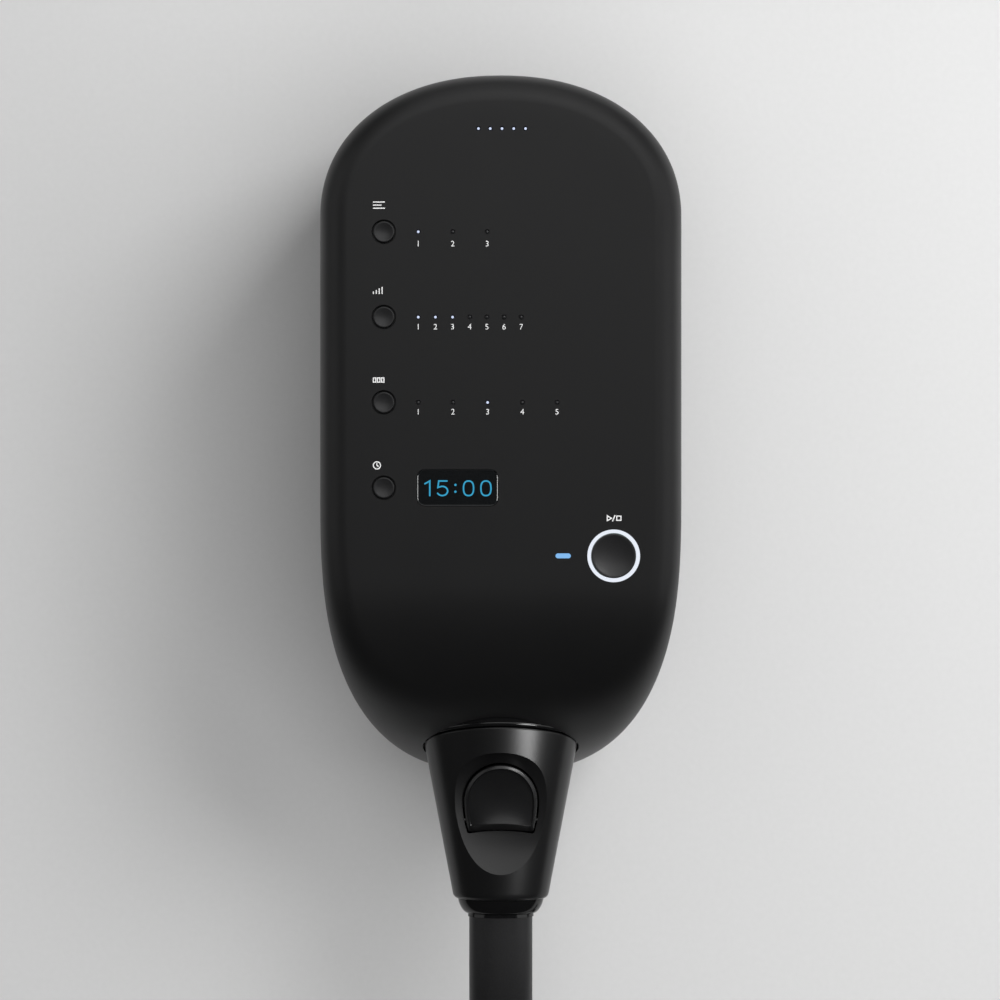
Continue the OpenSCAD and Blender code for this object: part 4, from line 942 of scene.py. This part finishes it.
INK_T = 0.03
INK_Z = FACE_Z + INK_T
INK_LINE = 0.34
NUMERAL_H, FONT_PER_H = 1.75, 1.4
SIGN_X = -39.2
SIGN_UP, LOW_SIGN_UP = 8.2, 6.9
START_SIGN_Y = START_Y + 11.6
NUMERAL_DROPS = {"program_lights": 3.75, "pressure_lights": 3.05, "zone_lights": 2.95}
white_ink = grained("white_ink", (0.72, 0.72, 0.72), 0.5, grain=0.06, grain_size=0.3, bump=0.03)


def numeral(text, x, y):
    """One plain numeral, centred on a point."""
    letters = bpy.data.curves.new(f"numeral_{text}", "FONT")
    letters.body = text
    letters.align_x = "CENTER"
    letters.align_y = "CENTER"
    letters.size = NUMERAL_H * FONT_PER_H * MM
    letters.extrude = INK_T * MM
    drawn = bpy.data.objects.new(f"numeral_{text}", letters)
    scene.collection.objects.link(drawn)
    bpy.context.view_layer.update()
    mesh = bpy.data.meshes.new_from_object(
        drawn.evaluated_get(bpy.context.evaluated_depsgraph_get()))
    bpy.data.objects.remove(drawn)
    for v in mesh.vertices:
        v.co += Vector((x, y, INK_Z - INK_T)) * MM
    made = bpy.data.objects.new(f"numeral_{text}", mesh)
    scene.collection.objects.link(made)
    return made


prints = []
for row, drop in NUMERAL_DROPS.items():
    x, y, pitch, count = LIGHT_ROWS[row]
    prints += [numeral(str(k + 1), x + k * pitch, y - drop) for k in range(count)]


def sign(name, line, x, y, closed=False):
    """One stroke of a sign, about a point."""
    prints.append(ribbon(name, [(x + u, y + v) for u, v in line], INK_LINE, INK_Z, closed))


# A list for the program, rising bars for the pressure, parts of a band for the zones, a clock
# for the time, and beside the start button the signs for start and stop
for k, reach in enumerate((3.4, 2.4, 3.4)):
    up = 0.95 - 0.95 * k
    sign(f"list_{k}", [(0, up), (reach, up)], SIGN_X, KEY_TOP_Y + SIGN_UP)
for k in range(4):
    sign(f"bar_{k}", [(0.9 * k, -0.95), (0.9 * k, -0.45 + 0.47 * k)], SIGN_X,
         KEY_TOP_Y - KEY_PITCH + SIGN_UP)
for k in range(3):
    sign(f"part_{k}", [(1.25 * k, -0.65), (1.25 * k + 0.75, -0.65), (1.25 * k + 0.75, 0.65),
                       (1.25 * k, 0.65)], SIGN_X, KEY_TOP_Y - 2 * KEY_PITCH + LOW_SIGN_UP,
         closed=True)
CLOCK_R = 1.1
sign("clock", [(x * CLOCK_R, y * CLOCK_R) for x, y in oval(1, 1, 2, 32)], SIGN_X + CLOCK_R,
     DISPLAY_Y + LOW_SIGN_UP, closed=True)
sign("hands", [(0, 0.6), (0, 0), (0.42, -0.25)], SIGN_X + CLOCK_R, DISPLAY_Y + LOW_SIGN_UP)
sign("start", [(-2.0, -0.75), (-0.7, 0), (-2.0, 0.75)], START_X, START_SIGN_Y, closed=True)
sign("stroke", [(-0.35, -0.85), (0.35, 0.85)], START_X, START_SIGN_Y)
sign("stop", [(0.9, -0.65), (2.2, -0.65), (2.2, 0.65), (0.9, 0.65)], START_X, START_SIGN_Y,
     closed=True)
face_print = joined("face_print", prints)
dress(face_print, white_ink, "pump")


# ---- Boards, drive and air parts inside the casing ----
# Nothing here shows from outside: boards, cells, motor and pump head, valves, tubes and the
# frame that carries them. Each part has the finish of its real material.

board_green = grained("board_green", (0.015, 0.13, 0.06), 0.35, grain_size=1.5, bump=0.03)
frame_grey = grained("frame_grey", (0.08, 0.085, 0.09), 0.6, grain_size=0.8, bump=0.1)
cast_metal = grained("cast_metal", (0.6, 0.6, 0.62), 0.4, grain=0.1, grain_size=0.8, bump=0.06,
                     metallic=1)
clear_tube = grained("clear_tube", (0.6, 0.62, 0.64), 0.3, grain=0.05, bump=0.02)
battery_wrap = grained("battery_wrap", (0.03, 0.1, 0.3), 0.25, grain=0.1, grain_size=1, bump=0.03)
filter_foam = grained("filter_foam", (0.09, 0.09, 0.1), 0.9, grain=0.5, grain_size=1.2, bump=0.8)
ribbon_grey = grained("ribbon_grey", (0.5, 0.5, 0.52), 0.5, grain_size=1, bump=0.05)

recoat(["control_board", "main_board"], board_green)
recoat(["display_module"], display_black)
recoat(["chassis_frame", "valve_manifold"], frame_grey)
recoat(["pump_cradle", "motor_can", "pump_head", "valve_head", "solenoid_valves", "power_switch",
        "key_switches"], cast_metal)
recoat(["board_screws", "motor_shaft", "connector_screws", "latch_spring", "far_latch_spring"],
       screw_steel)
recoat(["supply_tube", "air_tubes"], clear_tube)
recoat(["battery_pack"], battery_wrap)
recoat(["intake_filter"], filter_foam)
recoat(["ribbon_cable"], ribbon_grey)
recoat(["compressor_grommets", "nozzle_seals", "far_plug_seals"], seal_rubber)
recoat(["connector_nozzles", "far_plug_nozzles", "far_plug_collar", "latch_pin",
        "far_latch_pin"], gloss_black)


# ---- Far plug ----
# The plug at the other end of the hose: two screwed halves of satin black plastic with three
# small nozzles in front and a latch lever on top.

recoat(["far_plug_upper", "far_plug_lower"], connector_plastic)
recoat(["far_plug_latch"], pad_plastic)


# ---- Table and light ----
# A pale plain table, and soft light that comes mostly from the upper right. Some boxes light
# the table and dull surfaces, and others only show as reflections in the glossy pieces.

TABLE_HALF = 4000
floor = piece("table_top", [(x * TABLE_HALF, y * TABLE_HALF, 0)
                            for x, y in [(-1, -1), (1, -1), (1, 1), (-1, 1)]], [(0, 1, 2, 3)])
floor_paint = grained("table_paint", (0.62, 0.62, 0.62), 0.75, grain=0.01, grain_size=2, bump=0.01)
floor.data.materials.append(floor_paint)

world = bpy.data.worlds.new("studio")
world.use_nodes = True
world.node_tree.nodes["Background"].inputs["Color"].default_value = (1, 1, 1, 1)
world.node_tree.nodes["Background"].inputs["Strength"].default_value = 0.05
scene.world = world


def soft_box(name, place, aim, size, power, glossy=True, diffuse=True, only_for=None):
    """A flat light: it may show only in reflections, only as light, or only on some pieces."""
    light = bpy.data.lights.new(name, "AREA")
    light.shape = "RECTANGLE"
    light.size, light.size_y = size
    light.energy = power
    made = bpy.data.objects.new(name, light)
    made.location = place
    made.rotation_euler = (Vector(aim) - Vector(place)).to_track_quat("-Z", "Y").to_euler()
    made.visible_glossy = glossy
    made.visible_diffuse = diffuse
    made.visible_camera = False
    if only_for:
        made.light_linking.receiver_collection = only_for
    scene.collection.objects.link(made)


def group(name, members):
    """A set of pieces that a light is kept to."""
    made = bpy.data.collections.new(name)
    for member in members:
        made.objects.link(member)
    return made


mouth = group("mouth", [upper, lower, port_lip])
glossy_parts = group("glossy_parts", [upper, lower, pad, collar, start_cap, port_lip,
                                      nodes["port_block"]] + lamp_rows)
pad_only = group("pad_only", [pad])
window = group("window", [glass])

soft_box("key_light", (0.6, 0.55, 0.9), (0, -0.02, 0.05), (0.5, 0.5), 8, glossy=False)
soft_box("side_light", (0.75, 0.1, 0.55), (0, -0.02, 0), (0.6, 0.6), 3.4, glossy=False)
soft_box("fill_light", (0.3, -0.5, 2.0), (0, 0, 0), (1.8, 1.8), 23.5, glossy=False)
soft_box("left_fill", (-0.6, 0.3, 1.0), (0, 0, 0), (0.9, 0.9), 1.8, glossy=False)
soft_box("top_light", (0.2, 0.75, 1.5), (0, 0, 0.05), (1.6, 1.3), 7, diffuse=False)
soft_box("far_light", (0.1, 1.35, 0.7), (0, 0, 0.05), (1.4, 1.0), 3, diffuse=False)
soft_box("right_light", (1.3, 0.25, 0.8), (0, 0, 0.05), (1.2, 1.2), 4, diffuse=False)
soft_box("left_light", (-1.3, 0.35, 0.8), (0, 0, 0.05), (1.2, 1.2), 2.4, diffuse=False)
soft_box("patch_light", (0.1, -0.135, 0.26), (0.008, -0.1, 0.084), (0.04, 0.07), 0.21,
         diffuse=False, only_for=mouth)
soft_box("rim_light", (0.5, 0.42, 0.75), (0, -0.1, 0.08), (0.35, 0.35), 3.2, diffuse=False,
         only_for=glossy_parts)
soft_box("pad_light", (0.8, 0.65, 0.45), (0, -0.1, 0.08), (0.5, 0.5), 7, diffuse=False,
         only_for=pad_only)
for k, side in ((1, 1), (2, -1)):
    soft_box(f"window_light_{k}", (0.6 * side, 0, 0.6), (0, 0, 0.1), (0.4, 0.4), 12,
             diffuse=False, only_for=window)
scene.view_settings.view_transform = "Standard"
